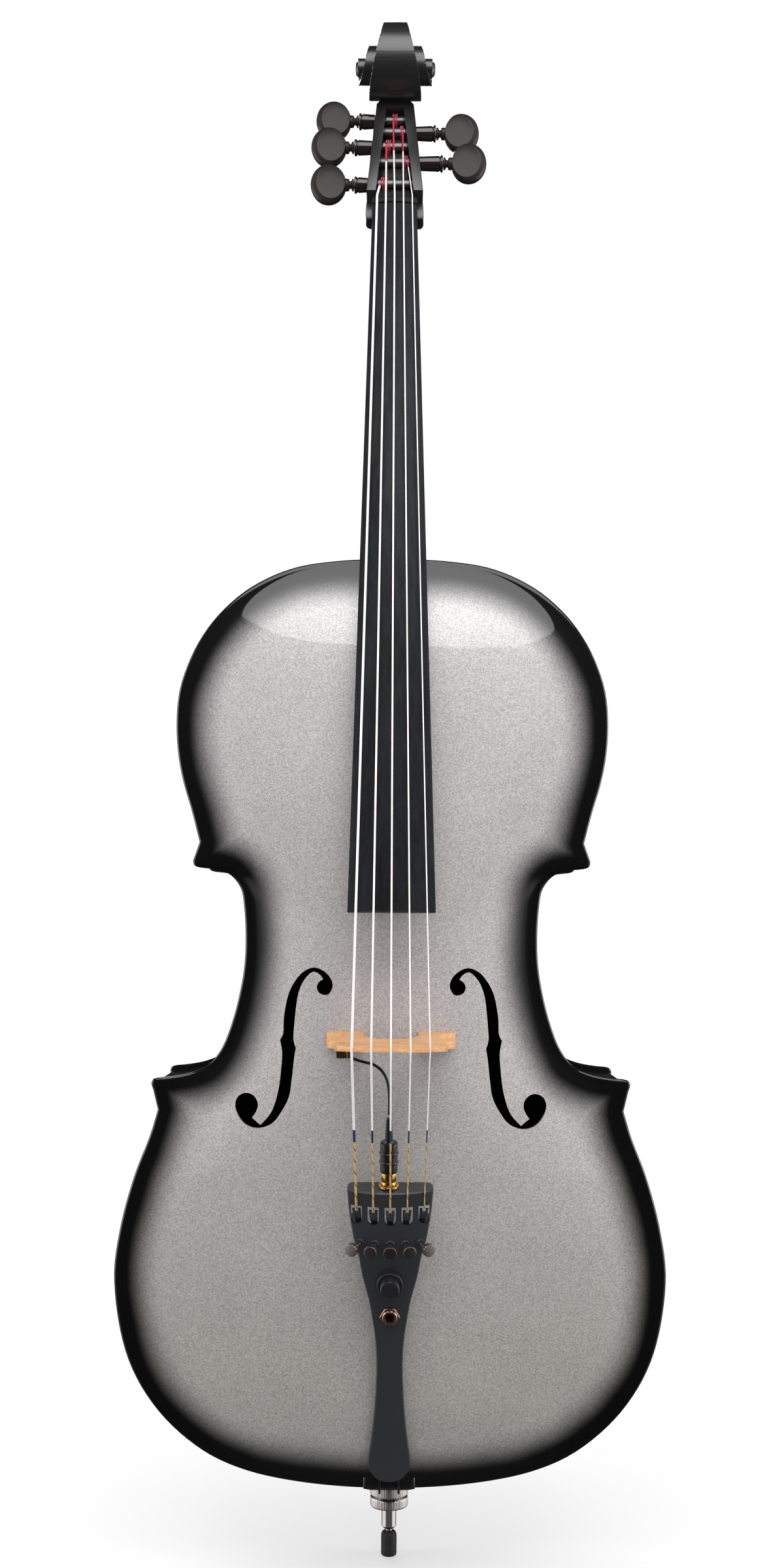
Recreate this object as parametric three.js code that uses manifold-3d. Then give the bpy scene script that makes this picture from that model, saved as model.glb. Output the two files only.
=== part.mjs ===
// A five-string electric cello, in millimetres, +Z up the instrument, front towards -Y.
// The origin is the flat foot of the endpin's rubber tip.
import * as THREE from 'three';
import { mergeVertices } from 'three/addons/utils/BufferGeometryUtils.js';
import Module from 'manifold-3d';

const wasm = await Module();
wasm.setup();

// Fits and edges
const seatGap = 0.3;
const overrun = 3;
const weldDistance = 0.0001;
const degree = Math.PI / 180;

// Endpin, from the floor up
const tipLength = 21;
const tipRadius = 6.6;
const tipSocketDepth = 12;
const studRadius = 2.9;
const rodShowing = 21.4;
const rodRadius = 6.2;
const rodLength = 430;
const rodChamfer = 1.6;
const clampNutHeight = 8.6;
const clampNutRadius = 16;
const clampNoseRadius = 10.2;
const clampNoseInset = 0.6;
const plugWaistHeight = 0.8;
const plugWaistRadius = 13.6;
const collarHeight = 9.6;
const shoulderHeight = 15.2;
const shoulderRadius = 12.6;
const plugFlangeRadius = 15;
const plugFlangeHeight = 4;
const plugConeRadius = 12.2;
const plugConeTaper = 1;
const tailCordRadius = 0.95;
const cordGrooveDrop = 8;
const plugShowing = plugWaistHeight + collarHeight + shoulderHeight;
const bodyBase = tipLength + rodShowing + clampNutHeight + plugShowing;

// Body outline. The stop runs from the top edge down to the bridge, which the corners go by
const bodyLength = 755.6;
const bodyStop = 390.7;
const bridgeStation = bodyLength - bodyStop;
const lowerCornerBelowBridge = 36.4;
const upperCornerAboveBridge = 144;
const lowerCornerHeight = bridgeStation - lowerCornerBelowBridge;
const upperCornerHeight = bridgeStation + upperCornerAboveBridge;
const lowerBoutWidth = 448.8;
const waistWidth = 237.2;
const upperBoutWidth = 351.2;
const lowerCornerWidth = 389.4;
const upperCornerWidth = 323.2;
const cornerRadius = 5;
const cornerHook = 5.3;
const lowerHookLength = 21.3;
const upperHookLength = 15.9;

// Outline points between the corners, as [share of the half width, share of the height]
const lowerBoutShares = [
  [0, 0], [0.322, 0.0146], [0.5365, 0.0469], [0.6845, 0.0953], [0.842, 0.1924],
  [0.9505, 0.3215], [1, 0.5154], [0.978, 0.6444], [0.927, 0.7738], [0.8725, 0.8706],
];
const upperBoutShares = [
  [0.9294, 0.1719], [0.9653, 0.2578], [0.9897, 0.3441], [1, 0.452], [0.988, 0.559], [0.9516, 0.6449],
  [0.8929, 0.7313], [0.8035, 0.8172], [0.6634, 0.9031], [0.4698, 0.9676], [0.2563, 0.9935], [0, 1],
];
const lowerWaistShares = [
  [0.7806, 0.0327], [0.5834, 0.0493], [0.4126, 0.0804], [0.3167, 0.1175], [0.23, 0.1763],
  [0.1288, 0.2938], [0.0591, 0.4113], [0.0131, 0.5294], [0, 0.6469],
];
const upperWaistShares = [[0.0302, 0.7938], [0.0977, 0.8819], [0.2953, 0.9407], [0.521, 0.9618]];
const cornerTipShares = [[-0.3, -1.07], [0, 0], [-0.3, 0.68], [-1.1, 0.97]];

// Plates and ribs
const ribDepth = 111;
const plateThickness = 4.5;
const edgeOverhang = 3.5;
const ribThickness = 3;
const topArch = 25;
const backArch = 24;
const spineShare = 0.7;
const longArchFallShare = 0.16;
const archShares = [[0.05, 0.02], [0.17, 0.24], [0.36, 0.6], [0.62, 0.89], [1, 1]];
const innerArchShares = [[0.17, 0.24], [0.5, 0.78], [1, 1]];
const cornerWearShare = 0.17;
const halfDepth = ribDepth / 2 + plateThickness;
const buttonRadius = 16.5;
const buttonLength = 21;
const neckBlockWidth = 70;
const neckBlockLength = 30;
const endBlockWidth = 64;
const endBlockLength = 26;
const bassBarWidth = 8;
const bassBarDepth = 18;
const bassBarLength = 540;
const bassBarOffset = 22;
const postRadius = 5.5;
const postOffset = 23;
const postBelowBridge = 15;

// F-holes: outline as shares of the hole's length, across and up from its waist
const fHoleLength = 129.6;
const fHoleWaistAcross = 82.7;
const fHoleWaistAboveBridge = 0.2;
const fHoleShares = [
  [0.1674, -0.5231], [0.1026, -0.4475], [0.0594, -0.3179], [0.0417, -0.1813], [0.0363, -0.0741],
  [0.0502, 0.0023], [0.0324, 0.0347], [0.027, 0.1435], [-0.0015, 0.287], [-0.0409, 0.3657],
  [-0.091, 0.4236], [-0.1597, 0.4529], [-0.2215, 0.4313], [-0.2639, 0.3881], [-0.2778, 0.3372],
  [-0.25, 0.287], [-0.226, 0.283], [-0.192, 0.297], [-0.1775, 0.332], [-0.1906, 0.3634],
  [-0.2176, 0.3804], [-0.1983, 0.4082], [-0.1566, 0.4275],
  [-0.0988, 0.3735], [-0.0664, 0.3009], [-0.0556, 0.2531], [-0.0401, 0.1073], [-0.0355, -0.0015],
  [-0.0502, -0.0455], [-0.0401, -0.1088], [-0.0262, -0.2392], [-0.0093, -0.3465], [0.0386, -0.4414],
  [0.0957, -0.5123], [0.1821, -0.544], [0.257, -0.526], [0.307, -0.472], [0.33, -0.401],
  [0.309, -0.35], [0.257, -0.328], [0.205, -0.35], [0.184, -0.401], [0.199, -0.449], [0.2215, -0.48],
];

// Saddle
const saddleWidth = 42;
const saddleLength = 13;
const saddleRise = 4.6;
const saddleLip = 0.9;

// Strings
const stringCount = 5;
const stringLength = 699.1;
const stringTilt = 10.74 * degree;
const stringRadii = [1, 0.8, 0.7, 0.6, 0.5];
const bridgeSpacing = 14.65;
const nutSpacing = 7.25;
const tailSpacing = 13;
const stringSides = 8;

// Bridge: outline as [share of the half width, share of the height], from the arch's middle out
const bridgeHeight = 92;
const bridgeWidth = 102;
const bridgeFootThickness = 9.5;
const bridgeCrownThickness = 2.8;
const bridgeCrownRadius = 72;
const bridgeCrownHalf = 38.5;
const bridgeFootSink = 6;
const bridgeArchShares = [
  [0, 0.435], [0.157, 0.424], [0.314, 0.37], [0.412, 0.239], [0.431, 0.109], [0.42, 0.05],
];
const bridgeSideShares = [
  [1, 0.054], [0.9, 0.098], [0.76, 0.152], [0.69, 0.261], [0.745, 0.37], [0.9, 0.42],
  [0.97, 0.45], [0.965, 0.54], [0.86, 0.598], [0.7, 0.62], [0.59, 0.652], [0.62, 0.71],
  [0.8, 0.739], [0.84, 0.793], [0.79, 0.87],
];
const heartRadius = 6;
const heartHeightShare = 0.62;

// Fingerboard, nut and neck
const boardEndAboveBridge = 108.1;
const boardLength = stringLength - boardEndAboveBridge;
const boardWidthAtNut = 36.5;
const boardWidthAtEnd = 67.8;
const boardTopRadius = 64;
const boardSideHeight = 5;
const boardBevelShare = 0.62;
const nutStringHeight = 1.2;
const endStringHeight = 7.9;
const nutThickness = 6;
const nutWidthSpare = 0.6;
const neckDepth = 20.5;
const neckInset = 0.4;
const neckHandleRun = 210;
const heelMiddleWidth = 35;
// The heel's side between its front edge and its middle, and between its middle and its back edge
const heelFrontShares = [0.7, 0.32];
const heelMiddleShare = 0.6;
const heelBackShares = [0.8, 0.9];
const mortiseDepth = 11;

// Pegbox, measured along and behind the line that leaves the nut
const pegboxTilt = 26.565 * degree;
const pegAxisDepth = 6.3;
const pegboxShoulderWidth = 48;
const pegboxRootWidth = 46.8;
const pegboxTopWidth = 33.5;
const pegboxRootStation = 10.5;
const pegboxTopStation = 104;
const pegboxFrontRise = 2.5;
const pegboxCornerCut = 4;
const shoulderDrop = 6.5;
const pegboxDepth = 31.5;
const shoulderDepth = 25;
const pegboxTopDepth = 24;
const cavityStart = 9;
const cavityEnd = 112;
const cavityRootWidth = 31.6;
const cavityTopWidth = 15.6;
const cavityFloor = 22;
const cavityTopFloor = 17;

// Pegs
const pegShaftRadius = 4.8;
const pegShellRadius = 5.7;
const pegShellBore = 3.6;
const pegStemRadius = 2.9;
const pegRimRadius = 6.85;
const pegRimLength = 2.2;
const pegWaistLength = 6.4;
const pegCollarRadius = 5;
const pegCollarLength = 1.8;
const pegHeadLength = 30;
const pegHeadHeight = 33.2;
const pegHeadThickness = 11;
const pegStemLength = 9;
const pegStubLength = 6;

// The head's half section, as shares of its half height and half thickness
const pegLensShares = [[0, -1], [0.6, -0.86], [1, -0.22], [1, 0.22], [0.6, 0.86], [0, 1]];

// Windings: silk-wrapped string ends on the peg shafts
const windingWireRadius = 0.55;
const windingGap = 0.45;
const windingSteps = 24;
const windingSides = 6;
const windingPitch = 2 * windingWireRadius + windingGap;
const windingRadius = pegShaftRadius + seatGap + windingWireRadius;

// One row a string, from the lowest string on the left to the highest on the right
const pegTable = [
  { side: -1, along: 26.3, reach: 40, loops: 4, windStart: -11, windWay: 1 },
  { side: -1, along: 71.4, reach: 40.6, loops: 3, windStart: -7.2, windWay: 1 },
  { side: -1, along: 103.8, reach: 37.1, loops: 3, windStart: -1.6, windWay: 1 },
  { side: 1, along: 89, reach: 41.1, loops: 2, windStart: 6.6, windWay: -1 },
  { side: 1, along: 52.3, reach: 46.7, loops: 2, windStart: 10.1, windWay: -1 },
];

// Scroll: along its spiral, counted in quarter turns from below the eye and first up the back
const scrollAlong = 141;
const scrollForward = 15.7;
const scrollRadius = 36.3;
const scrollEyeRadius = 6;
const scrollEyeWidth = 68;
const scrollStart = 0.45;
const scrollTurns = 3;
const scrollSteps = 15;
// At each quarter turn, the rim's radius and width as shares of the largest
const scrollShares = [
  [1, 0.25], [1, 0.25], [1, 0.28], [0.93, 0.455], [0.71, 0.655], [0.6, 0.62], [0.51, 0.61], [0.45, 0.75],
  [0.37, 0.92], [0.3, 0.93], [0.24, 0.94], [0.2, 0.94], [0.18, 0.94], [0.17, 0.94],
];

// Tailpiece, measured down from its top end
const tailLength = 251;
const tailWidth = 66;
const tailTilt = 15.5 * degree;
const tailFrontRadius = 83.5;
const tailDepth = 22;
const tailTopFromBridge = 111;
const tailCrestForward = 31;
// Outline of the tailpiece as [share of the length, share of the half width, share of the depth]
const tailShares = [
  [0, 1, 1], [0.06, 0.965, 1], [0.12, 0.903, 0.98], [0.165, 0.842, 0.95], [0.21, 0.745, 0.92],
  [0.28, 0.65, 0.86], [0.365, 0.49, 0.8], [0.43, 0.409, 0.74], [0.5, 0.34, 0.66], [0.59, 0.311, 0.56],
  [0.73, 0.352, 0.48], [0.85, 0.436, 0.44], [0.94, 0.515, 0.42], [0.985, 0.36, 0.4], [1, 0.12, 0.36],
];
const tailCavityStart = 9;
const tailCavityEnd = 52;
const tailSideWall = 2.2;
const tailWall = 3.6;
const slotWidth = 8.6;
const slotStart = 11.8;
const slotEnd = 27.6;
const tailEyeRadius = 1.6;
const tailEyeSpacing = 15.4;
const tailEyeDepth = 14;

// Tuning levers and screws
const leverForkWidth = 6.6;
const leverArmWidth = 3;
const leverForkStart = 15.6;
const leverForkGap = 2.4;
const leverPivot = 27;
const leverPivotDepth = 9.6;
const leverThickness = 3.2;
const leverEnd = 45.8;
const screwStation = 42.3;
const screwSpacing = 11.4;
const screwFan = 14 * degree;
const screwRadius = 2;
const screwHeadRadius = 5.1;
const screwHeadHeight = 4.4;
const screwStandOut = 16;
const screwReach = 4.3;
const bushRadius = 3.4;
const bushHeight = 1.6;

// Knobs, control and jack
const knobStation = 73.1;
const lowerKnobRadius = 10.3;
const lowerKnobHeight = 8;
const upperKnobRadius = 7.5;
const upperKnobHeight = 8.2;
const knobLift = 0.6;
const potRadius = 8.5;
const potDepth = 7;
const potSleeveRadius = 3.6;
const potShaftRadius = 2;
const knobGrip = 5;
const jackStation = 103.5;
const jackNutRadius = 8;
const jackNutHeight = 2.2;
const jackRingRadius = 5.75;
const jackRingHeight = 3.4;
const jackBoreRadius = 3.8;
const jackBoreDepth = 15;
const jackBushRadius = 5;
const jackBodyRadius = 6.6;
const jackBodyLength = 18;

// Pickup, its plug and its lead
const socketFlangeRadius = 8;
const socketFlangeHeight = 2.4;
const socketDepth = 11.5;
const socketAcross = -1.2;
const socketBarrelRadius = 4.4;
const socketTailLength = 6;
const ferruleRadius = 6;
const ferruleLength = 10;
const gripRadius = 6.8;
const gripLength = 24.7;
const gripRidge = 0.7;
const gripRidgeShares = [0.3, 0.6];
const bootRadius = 3;
const bootEndRadius = 2;
const bootLength = 19.5;
const pickupWidth = 10.5;
const pickupHeight = 13;
const pickupThickness = 5.8;
const pickupAcross = 36;
const pickupHeightOnBridge = 66;
const leadRadius = 1.1;
const leadSides = 8;
// The pickup lead's route, from the element at the bridge to the boot
const leadPoints = [
  [-30.4, -151.5, 434.6], [-25.3, -152, 432.4], [-20.3, -152, 431], [-13.1, -152, 429.1], [-7.4, -152, 425],
  [-3.6, -152, 419.2], [-1.7, -151.8, 411.8], [-1.1, -151.4, 402.4], [-1.2, -150.4, 390.8],
];

// Turned pieces
const turnSides = 16;
const smallSides = 12;
const stemSides = 10;
const knurlTeeth = 13;
const knurlShare = 0.04;

// Colours and finishes
function finish(name, color, roughness, metalness) {
  const material = new THREE.MeshStandardMaterial({ color, roughness, metalness });
  material.name = name;
  return material;
}

function flakeLacquer() {
  return finish('flake_lacquer', 0x8f8b8b, 0.25, 0.4);
}

function blackLacquer() {
  return finish('black_lacquer', 0x0c0c0d, 0.15, 0);
}

function satinBlack() {
  return finish('satin_black', 0x16191a, 0.4, 0);
}

function boardBlack() {
  return finish('board_black', 0x1b2226, 0.5, 0);
}

function spruce() {
  return finish('spruce', 0xd9b98a, 0.7, 0);
}

function maple() {
  return finish('maple', 0xd9a468, 0.5, 0);
}

function pegComposite() {
  return finish('peg_composite', 0x3a3534, 0.55, 0);
}

function pegShellBlack() {
  return finish('peg_shell', 0x241c1c, 0.25, 0.2);
}

function redSilk() {
  return finish('red_silk', 0xb01030, 0.7, 0);
}

function stringSteel() {
  return finish('string_steel', 0xcfc4c0, 0.3, 0.9);
}

function tailComposite() {
  return finish('tail_composite', 0x2c2d31, 0.45, 0);
}

function cordBlack() {
  return finish('cord_black', 0x141414, 0.6, 0);
}

function levers() {
  return finish('lever_grey', 0x4c4e52, 0.35, 0.8);
}

function brushedNickel() {
  return finish('brushed_nickel', 0x9a8f8d, 0.35, 1);
}

function chromedSteel() {
  return finish('chromed_steel', 0xc8c4c6, 0.15, 1);
}

function rubberBlack() {
  return finish('rubber_black', 0x151515, 0.75, 0);
}

function knobBlack() {
  return finish('knob_black', 0x1a1a1c, 0.3, 0);
}

function gilt() {
  return finish('gilt', 0xd8a24a, 0.2, 1);
}

function copperPlate() {
  return finish('copper_plate', 0xb98d78, 0.2, 1);
}

// Vectors, placing and solids
function at(x, y, z) {
  return new THREE.Vector3(x, y, z);
}

function mix(a, b, share) {
  return a + (b - a) * share;
}

function moved(geometry, x, y, z) {
  return geometry.clone().translate(x, y, z);
}

function plainMesh(geometry) {
  const plain = geometry.clone();
  plain.deleteAttribute('normal');
  plain.deleteAttribute('uv');
  const merged = mergeVertices(plain, weldDistance);
  const corners = [];
  const index = merged.index.array;
  for (let i = 0; i < index.length; i += 3) {
    const [a, b, c] = [index[i], index[i + 1], index[i + 2]];
    if (a !== b && b !== c && c !== a) corners.push(a, b, c);
  }
  return { places: Float32Array.from(merged.attributes.position.array), corners };
}

function solidOf(geometry) {
  const { places, corners } = plainMesh(geometry);
  const build = (order) => new wasm.Manifold(
    new wasm.Mesh({ numProp: 3, vertProperties: places, triVerts: Uint32Array.from(order) }),
  );
  const solid = build(corners);
  if (solid.volume() > 0) return solid;
  return build([...corners].reverse());
}

function geometryOf(solid) {
  const mesh = solid.getMesh();
  const geometry = new THREE.BufferGeometry();
  geometry.setAttribute('position', new THREE.BufferAttribute(Float32Array.from(mesh.vertProperties), 3));
  geometry.setIndex([...mesh.triVerts]);
  geometry.computeVertexNormals();
  return geometry;
}

function joined(...geometries) {
  return geometryOf(geometries.map(solidOf).reduce((whole, piece) => whole.add(piece)));
}

function cut(geometry, ...tools) {
  return geometryOf(tools.map(solidOf).reduce((whole, tool) => whole.subtract(tool), solidOf(geometry)));
}

function common(a, b) {
  return geometryOf(solidOf(a).intersect(solidOf(b)));
}

// A skin over rings of equal count; the ends are closed by fans unless they shrink to a line
function loft(rings, capped = true) {
  const count = rings[0].length;
  const places = rings.flat().flatMap((p) => [p.x, p.y, p.z]);
  const corners = [];
  for (let r = 0; r + 1 < rings.length; r += 1) {
    for (let i = 0; i < count; i += 1) {
      const a = r * count + i;
      const b = r * count + (i + 1) % count;
      corners.push(a, b, a + count, b, b + count, a + count);
    }
  }
  const last = (rings.length - 1) * count;
  for (let i = 1; capped && i + 1 < count; i += 1) {
    corners.push(0, i + 1, i);
    corners.push(last, last + i, last + i + 1);
  }
  const geometry = new THREE.BufferGeometry();
  geometry.setAttribute('position', new THREE.Float32BufferAttribute(places, 3));
  geometry.setIndex(corners);
  return geometryOf(solidOf(geometry));
}

function box(width, depth, height, x, y, z) {
  return moved(new THREE.BoxGeometry(width, depth, height), x, y, z);
}

// A solid turned about Z from [radius, height] pairs, closed on the axis or on itself
function turned(profile, sides = turnSides) {
  const points = profile.map(([radius, height]) => new THREE.Vector2(radius, height));
  return geometryOf(solidOf(new THREE.LatheGeometry(points, sides).rotateX(Math.PI / 2)));
}

function rod(radius, from, to, sides = turnSides) {
  return turned([[0, from], [radius, from], [radius, to], [0, to]], sides);
}

// A hole or shaft that has to clear a round one is drawn so that its flats clear it too
function clearOf(radius, gap = seatGap, sides = turnSides) {
  return (radius + gap) / Math.cos(Math.PI / sides);
}

// An outline in X and Z, given depth along Y about Y = 0
function slab(points, depth, holes = []) {
  const shape = new THREE.Shape(points.map(([x, z]) => new THREE.Vector2(x, z)));
  shape.holes = holes.map((hole) => new THREE.Path(hole.map(([x, z]) => new THREE.Vector2(x, z))));
  const geometry = new THREE.ExtrudeGeometry(shape, { depth, bevelEnabled: false, steps: 1 });
  return geometryOf(solidOf(geometry.rotateX(Math.PI / 2).translate(0, depth / 2, 0)));
}

// A path whose corners are kept as they are given
class CornerPath extends THREE.Curve {
  constructor(points) {
    super();
    this.points = points;
  }

  getPoint(share, target = new THREE.Vector3()) {
    const place = Math.min(Math.max(share, 0), 1) * (this.points.length - 1);
    const first = Math.min(Math.floor(place), this.points.length - 2);
    return target.copy(this.points[first]).lerp(this.points[first + 1], place - first);
  }

  getPointAt(share, target) {
    return this.getPoint(share, target);
  }

  getTangentAt(share, target) {
    return this.getTangent(share, target);
  }

  getSpacedPoints(divisions) {
    return Array.from({ length: divisions + 1 }, (_, i) => this.getPoint(i / divisions));
  }
}

function circlePoints(radius, sides) {
  return Array.from({ length: sides }, (_, i) => {
    const angle = (i / sides) * 2 * Math.PI;
    return new THREE.Vector2(radius * Math.cos(angle), radius * Math.sin(angle));
  });
}

function tube(points, radius, sides) {
  const section = new THREE.Shape(circlePoints(radius, sides));
  const path = new CornerPath(points);
  const settings = { extrudePath: path, steps: points.length - 1, bevelEnabled: false };
  return geometryOf(solidOf(new THREE.ExtrudeGeometry(section, settings)));
}

const cello = new THREE.Group();
cello.name = 'electric_cello';

function piece(name, geometry, material, parent = cello) {
  const mesh = new THREE.Mesh(geometry, material);
  mesh.name = name;
  parent.add(mesh);
  return mesh;
}

// A turned group: its +Z runs along the tilted line, its -Y is the front of that line
function tiltedGroup(position, tilt) {
  const group = new THREE.Group();
  group.position.copy(position);
  group.rotation.x = tilt;
  group.updateMatrixWorld(true);
  return group;
}

function outOf(group, geometry) {
  return geometry.clone().applyMatrix4(group.matrixWorld);
}

function into(group, geometry) {
  return geometry.clone().applyMatrix4(group.matrixWorld.clone().invert());
}

function pointOutOf(group, point) {
  return point.clone().applyMatrix4(group.matrixWorld);
}

// Outline of the body
function cornerEnd(tip, upwards) {
  return cornerTipShares.map(
    ([out, up]) => at(tip.x + out * cornerRadius, 0, tip.z + upwards * up * cornerRadius),
  );
}

function stretch(points, divisions) {
  return new THREE.CatmullRomCurve3(points, false, 'centripetal').getSpacedPoints(divisions);
}

// A stretch that starts on the centre line, drawn with its mirror image so that it crosses square
function halfStretch(points, divisions) {
  const mirrored = points.slice(1).reverse().map((p) => at(-p.x, 0, p.z));
  const half = stretch([...mirrored, ...points], 2 * divisions).slice(divisions);
  half[0].x = 0;
  return half;
}

const lowerBoutDivisions = 9;
const upperBoutDivisions = 8;
const waistDivisions = 11;
const cornerReach = 2;

function halfOutline() {
  const lowerTip = at(lowerCornerWidth / 2, 0, lowerCornerHeight);
  const upperTip = at(upperCornerWidth / 2, 0, upperCornerHeight);
  const lowerEnd = cornerEnd(lowerTip, 1);
  const upperEnd = cornerEnd(upperTip, -1).reverse();
  const upperBoutHeight = bodyLength - upperCornerHeight;
  const cornerRise = upperCornerHeight - lowerCornerHeight;
  const waistHalf = waistWidth / 2;
  const lowerBout = lowerBoutShares.map(
    ([out, up]) => at(out * lowerBoutWidth / 2, 0, up * lowerCornerHeight),
  );
  const upperBout = upperBoutShares.map(
    ([out, up]) => at(out * upperBoutWidth / 2, 0, upperCornerHeight + up * upperBoutHeight),
  );
  const lowerWaist = lowerWaistShares.map(
    ([out, up]) => at(mix(waistHalf, lowerTip.x, out), 0, lowerCornerHeight + up * cornerRise),
  );
  const upperWaist = upperWaistShares.map(
    ([out, up]) => at(mix(waistHalf, upperTip.x, out), 0, lowerCornerHeight + up * cornerRise),
  );
  const lowerNotch = at(lowerTip.x - cornerHook, 0, lowerTip.z - lowerHookLength);
  const upperNotch = at(upperTip.x - cornerHook, 0, upperTip.z + upperHookLength);
  const bottom = halfStretch(lowerBout, lowerBoutDivisions);
  const waist = stretch([lowerEnd[3], ...lowerWaist, ...upperWaist, upperEnd[0]], waistDivisions);
  const top = halfStretch([...upperBout].reverse(), upperBoutDivisions).reverse();
  return [...bottom, lowerNotch, ...lowerEnd, ...waist.slice(1, -1), ...upperEnd, upperNotch, ...top];
}

function wholeRing(half) {
  const raised = half.map((p) => at(p.x, 0, p.z + bodyBase));
  const mirrored = raised.slice(1, -1).reverse().map((p) => at(-p.x, 0, p.z));
  return [...raised, ...mirrored];
}

// The outline with a straight run across each corner, which the arching keeps to
function wornHalf() {
  const worn = halfOutline();
  const cornerCount = cornerTipShares.length + 1;
  const starts = [lowerBoutDivisions, lowerBoutDivisions + cornerCount + waistDivisions - 1 - cornerReach];
  starts.forEach((start) => {
    const run = cornerCount + cornerReach + 1;
    for (let i = 1; i < run; i += 1) {
      worn[start + i] = worn[start].clone().lerp(worn[start + run], i / run);
    }
  });
  return worn;
}

const outlineRing = wholeRing(halfOutline());
const wornRing = wholeRing(wornHalf());

function inwards(ring, i) {
  const before = ring[(i + ring.length - 1) % ring.length];
  const after = ring[(i + 1) % ring.length];
  const along = after.clone().sub(before).normalize();
  return at(-along.z, 0, along.x);
}

function insetRing(ring, distance) {
  return ring.map((p, i) => p.clone().addScaledVector(inwards(ring, i), distance));
}

function crossing(a, b, c, d) {
  const spread = (b.x - a.x) * (d.z - c.z) - (b.z - a.z) * (d.x - c.x);
  if (spread === 0) return null;
  const first = ((c.x - a.x) * (d.z - c.z) - (c.z - a.z) * (d.x - c.x)) / spread;
  const second = ((c.x - a.x) * (b.z - a.z) - (c.z - a.z) * (b.x - a.x)) / spread;
  const inside = first > 0 && first < 1 && second > 0 && second < 1;
  return inside ? at(mix(a.x, b.x, first), 0, mix(a.z, b.z, first)) : null;
}

// An inset outline crosses itself at the corners; the small loops there are taken out
function withoutLoops(ring) {
  const window = 9;
  const kept = [...ring];
  for (let i = 0; i + 2 < kept.length; i += 1) {
    const reach = Math.min(i + window, kept.length - 2);
    for (let j = reach; j >= i + 2; j -= 1) {
      const meet = crossing(kept[i], kept[i + 1], kept[j], kept[j + 1]);
      if (meet) {
        kept.splice(i + 1, j - i, meet);
        break;
      }
    }
  }
  return kept;
}

function insetOutline(distance) {
  return withoutLoops(insetRing(outlineRing, distance)).map((p) => [p.x, p.z]);
}

// Arched plates
const bodyMiddle = bodyBase + bodyLength / 2;

function towardsSpine(p, reach) {
  const spine = bodyMiddle + spineShare * (p.z - bodyMiddle);
  return at(p.x * (1 - reach), 0, mix(p.z, spine, reach));
}

function archHeight(arch, z, rise) {
  const along = (z - bodyMiddle) / (bodyLength / 2);
  return arch * (1 - longArchFallShare * along * along) * rise;
}

function archedRing(reach, rise, arch, face, outward) {
  const wear = Math.min(reach / cornerWearShare, 1);
  return outlineRing.map((p, i) => {
    const place = towardsSpine(p.clone().lerp(wornRing[i], wear), reach);
    return at(place.x, face + outward * archHeight(arch, place.z, rise), place.z);
  });
}

function edgeRing(y) {
  return outlineRing.map((p) => at(p.x, y, p.z));
}

// A skin's rings from the spine to the edge
function skinRings(face, outward, arch, shares) {
  const rings = [...shares].reverse().map(([reach, rise]) => archedRing(reach, rise, arch, face, outward));
  return [...rings, edgeRing(face)];
}

function archedPlate(face, outward, arch) {
  const inner = face - outward * plateThickness;
  const inside = skinRings(inner, outward, arch, innerArchShares).reverse();
  return loft([...skinRings(face, outward, arch, archShares), ...inside], false);
}

// The same outer skin filled to a flat face, to cut what rests on the plate
function filledPlate(face, outward, arch) {
  const inner = face - outward * plateThickness;
  const rings = [...skinRings(face, outward, arch, archShares), edgeRing(inner)];
  rings.push(archedRing(1, 0, arch, inner, outward));
  return loft(rings, false);
}

// The hollow between the plates' inner skins, kept clear of them by a gap
function innerSpace(gap) {
  const inner = halfDepth - plateThickness - gap;
  const back = skinRings(inner, 1, backArch, innerArchShares).reverse();
  return loft([...skinRings(-inner, -1, topArch, innerArchShares), ...back], false);
}

function fHole(side) {
  const waist = bodyBase + bridgeStation + fHoleWaistAboveBridge;
  const points = fHoleShares.map(
    ([out, up]) => [side * (fHoleWaistAcross + out * fHoleLength), waist + up * fHoleLength],
  );
  return moved(slab(points, topArch + plateThickness + 2 * overrun), 0, -halfDepth - topArch / 2, 0);
}

function bassBar() {
  const height = bassBarDepth + topArch;
  const base = -halfDepth - topArch + height / 2;
  const bar = box(bassBarWidth, height, bassBarLength, -bassBarOffset, base, bodyMiddle);
  const skin = moved(filledPlate(-halfDepth, -1, topArch), 0, plateThickness / 3, 0);
  const inner = plateThickness - halfDepth;
  const deep = box(bassBarWidth, bassBarDepth, bassBarLength, -bassBarOffset, inner, bodyMiddle);
  return joined(common(bar, skin), deep);
}

function topPlate() {
  const arched = joined(archedPlate(-halfDepth, -1, topArch), bassBar());
  return cut(arched, fHole(-1), fHole(1), neckRoot(seatGap), saddleNotch());
}

function backPlate() {
  const plate = archedPlate(halfDepth, 1, backArch);
  const button = rod(buttonRadius, 0, plateThickness).rotateX(-Math.PI / 2);
  const top = bodyBase + bodyLength;
  const tongueLength = buttonLength - buttonRadius + edgeOverhang + ribThickness;
  const tongue = box(2 * buttonRadius, plateThickness, tongueLength, 0, 0, 0);
  const tongueMiddle = top + buttonLength - buttonRadius - tongueLength / 2;
  return joined(
    plate,
    moved(button, 0, halfDepth - plateThickness, top + buttonLength - buttonRadius),
    moved(tongue, 0, halfDepth - plateThickness / 2, tongueMiddle),
  );
}

const innerWall = edgeOverhang + ribThickness;
const garlandDepth = ribDepth - 2 * seatGap;

function ribGarland() {
  const ring = slab(insetOutline(edgeOverhang), garlandDepth, [insetOutline(innerWall).reverse()]);
  const plugRadius = clearOf(plugConeRadius);
  const plugHole = rod(plugRadius, bodyBase - overrun, bodyBase + innerWall + overrun);
  return cut(ring, neckRoot(seatGap), plugHole);
}

function blockInside(width, length, middle) {
  const inside = slab(insetOutline(innerWall + seatGap), garlandDepth);
  return common(box(width, garlandDepth, length, 0, 0, middle), inside);
}

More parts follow.
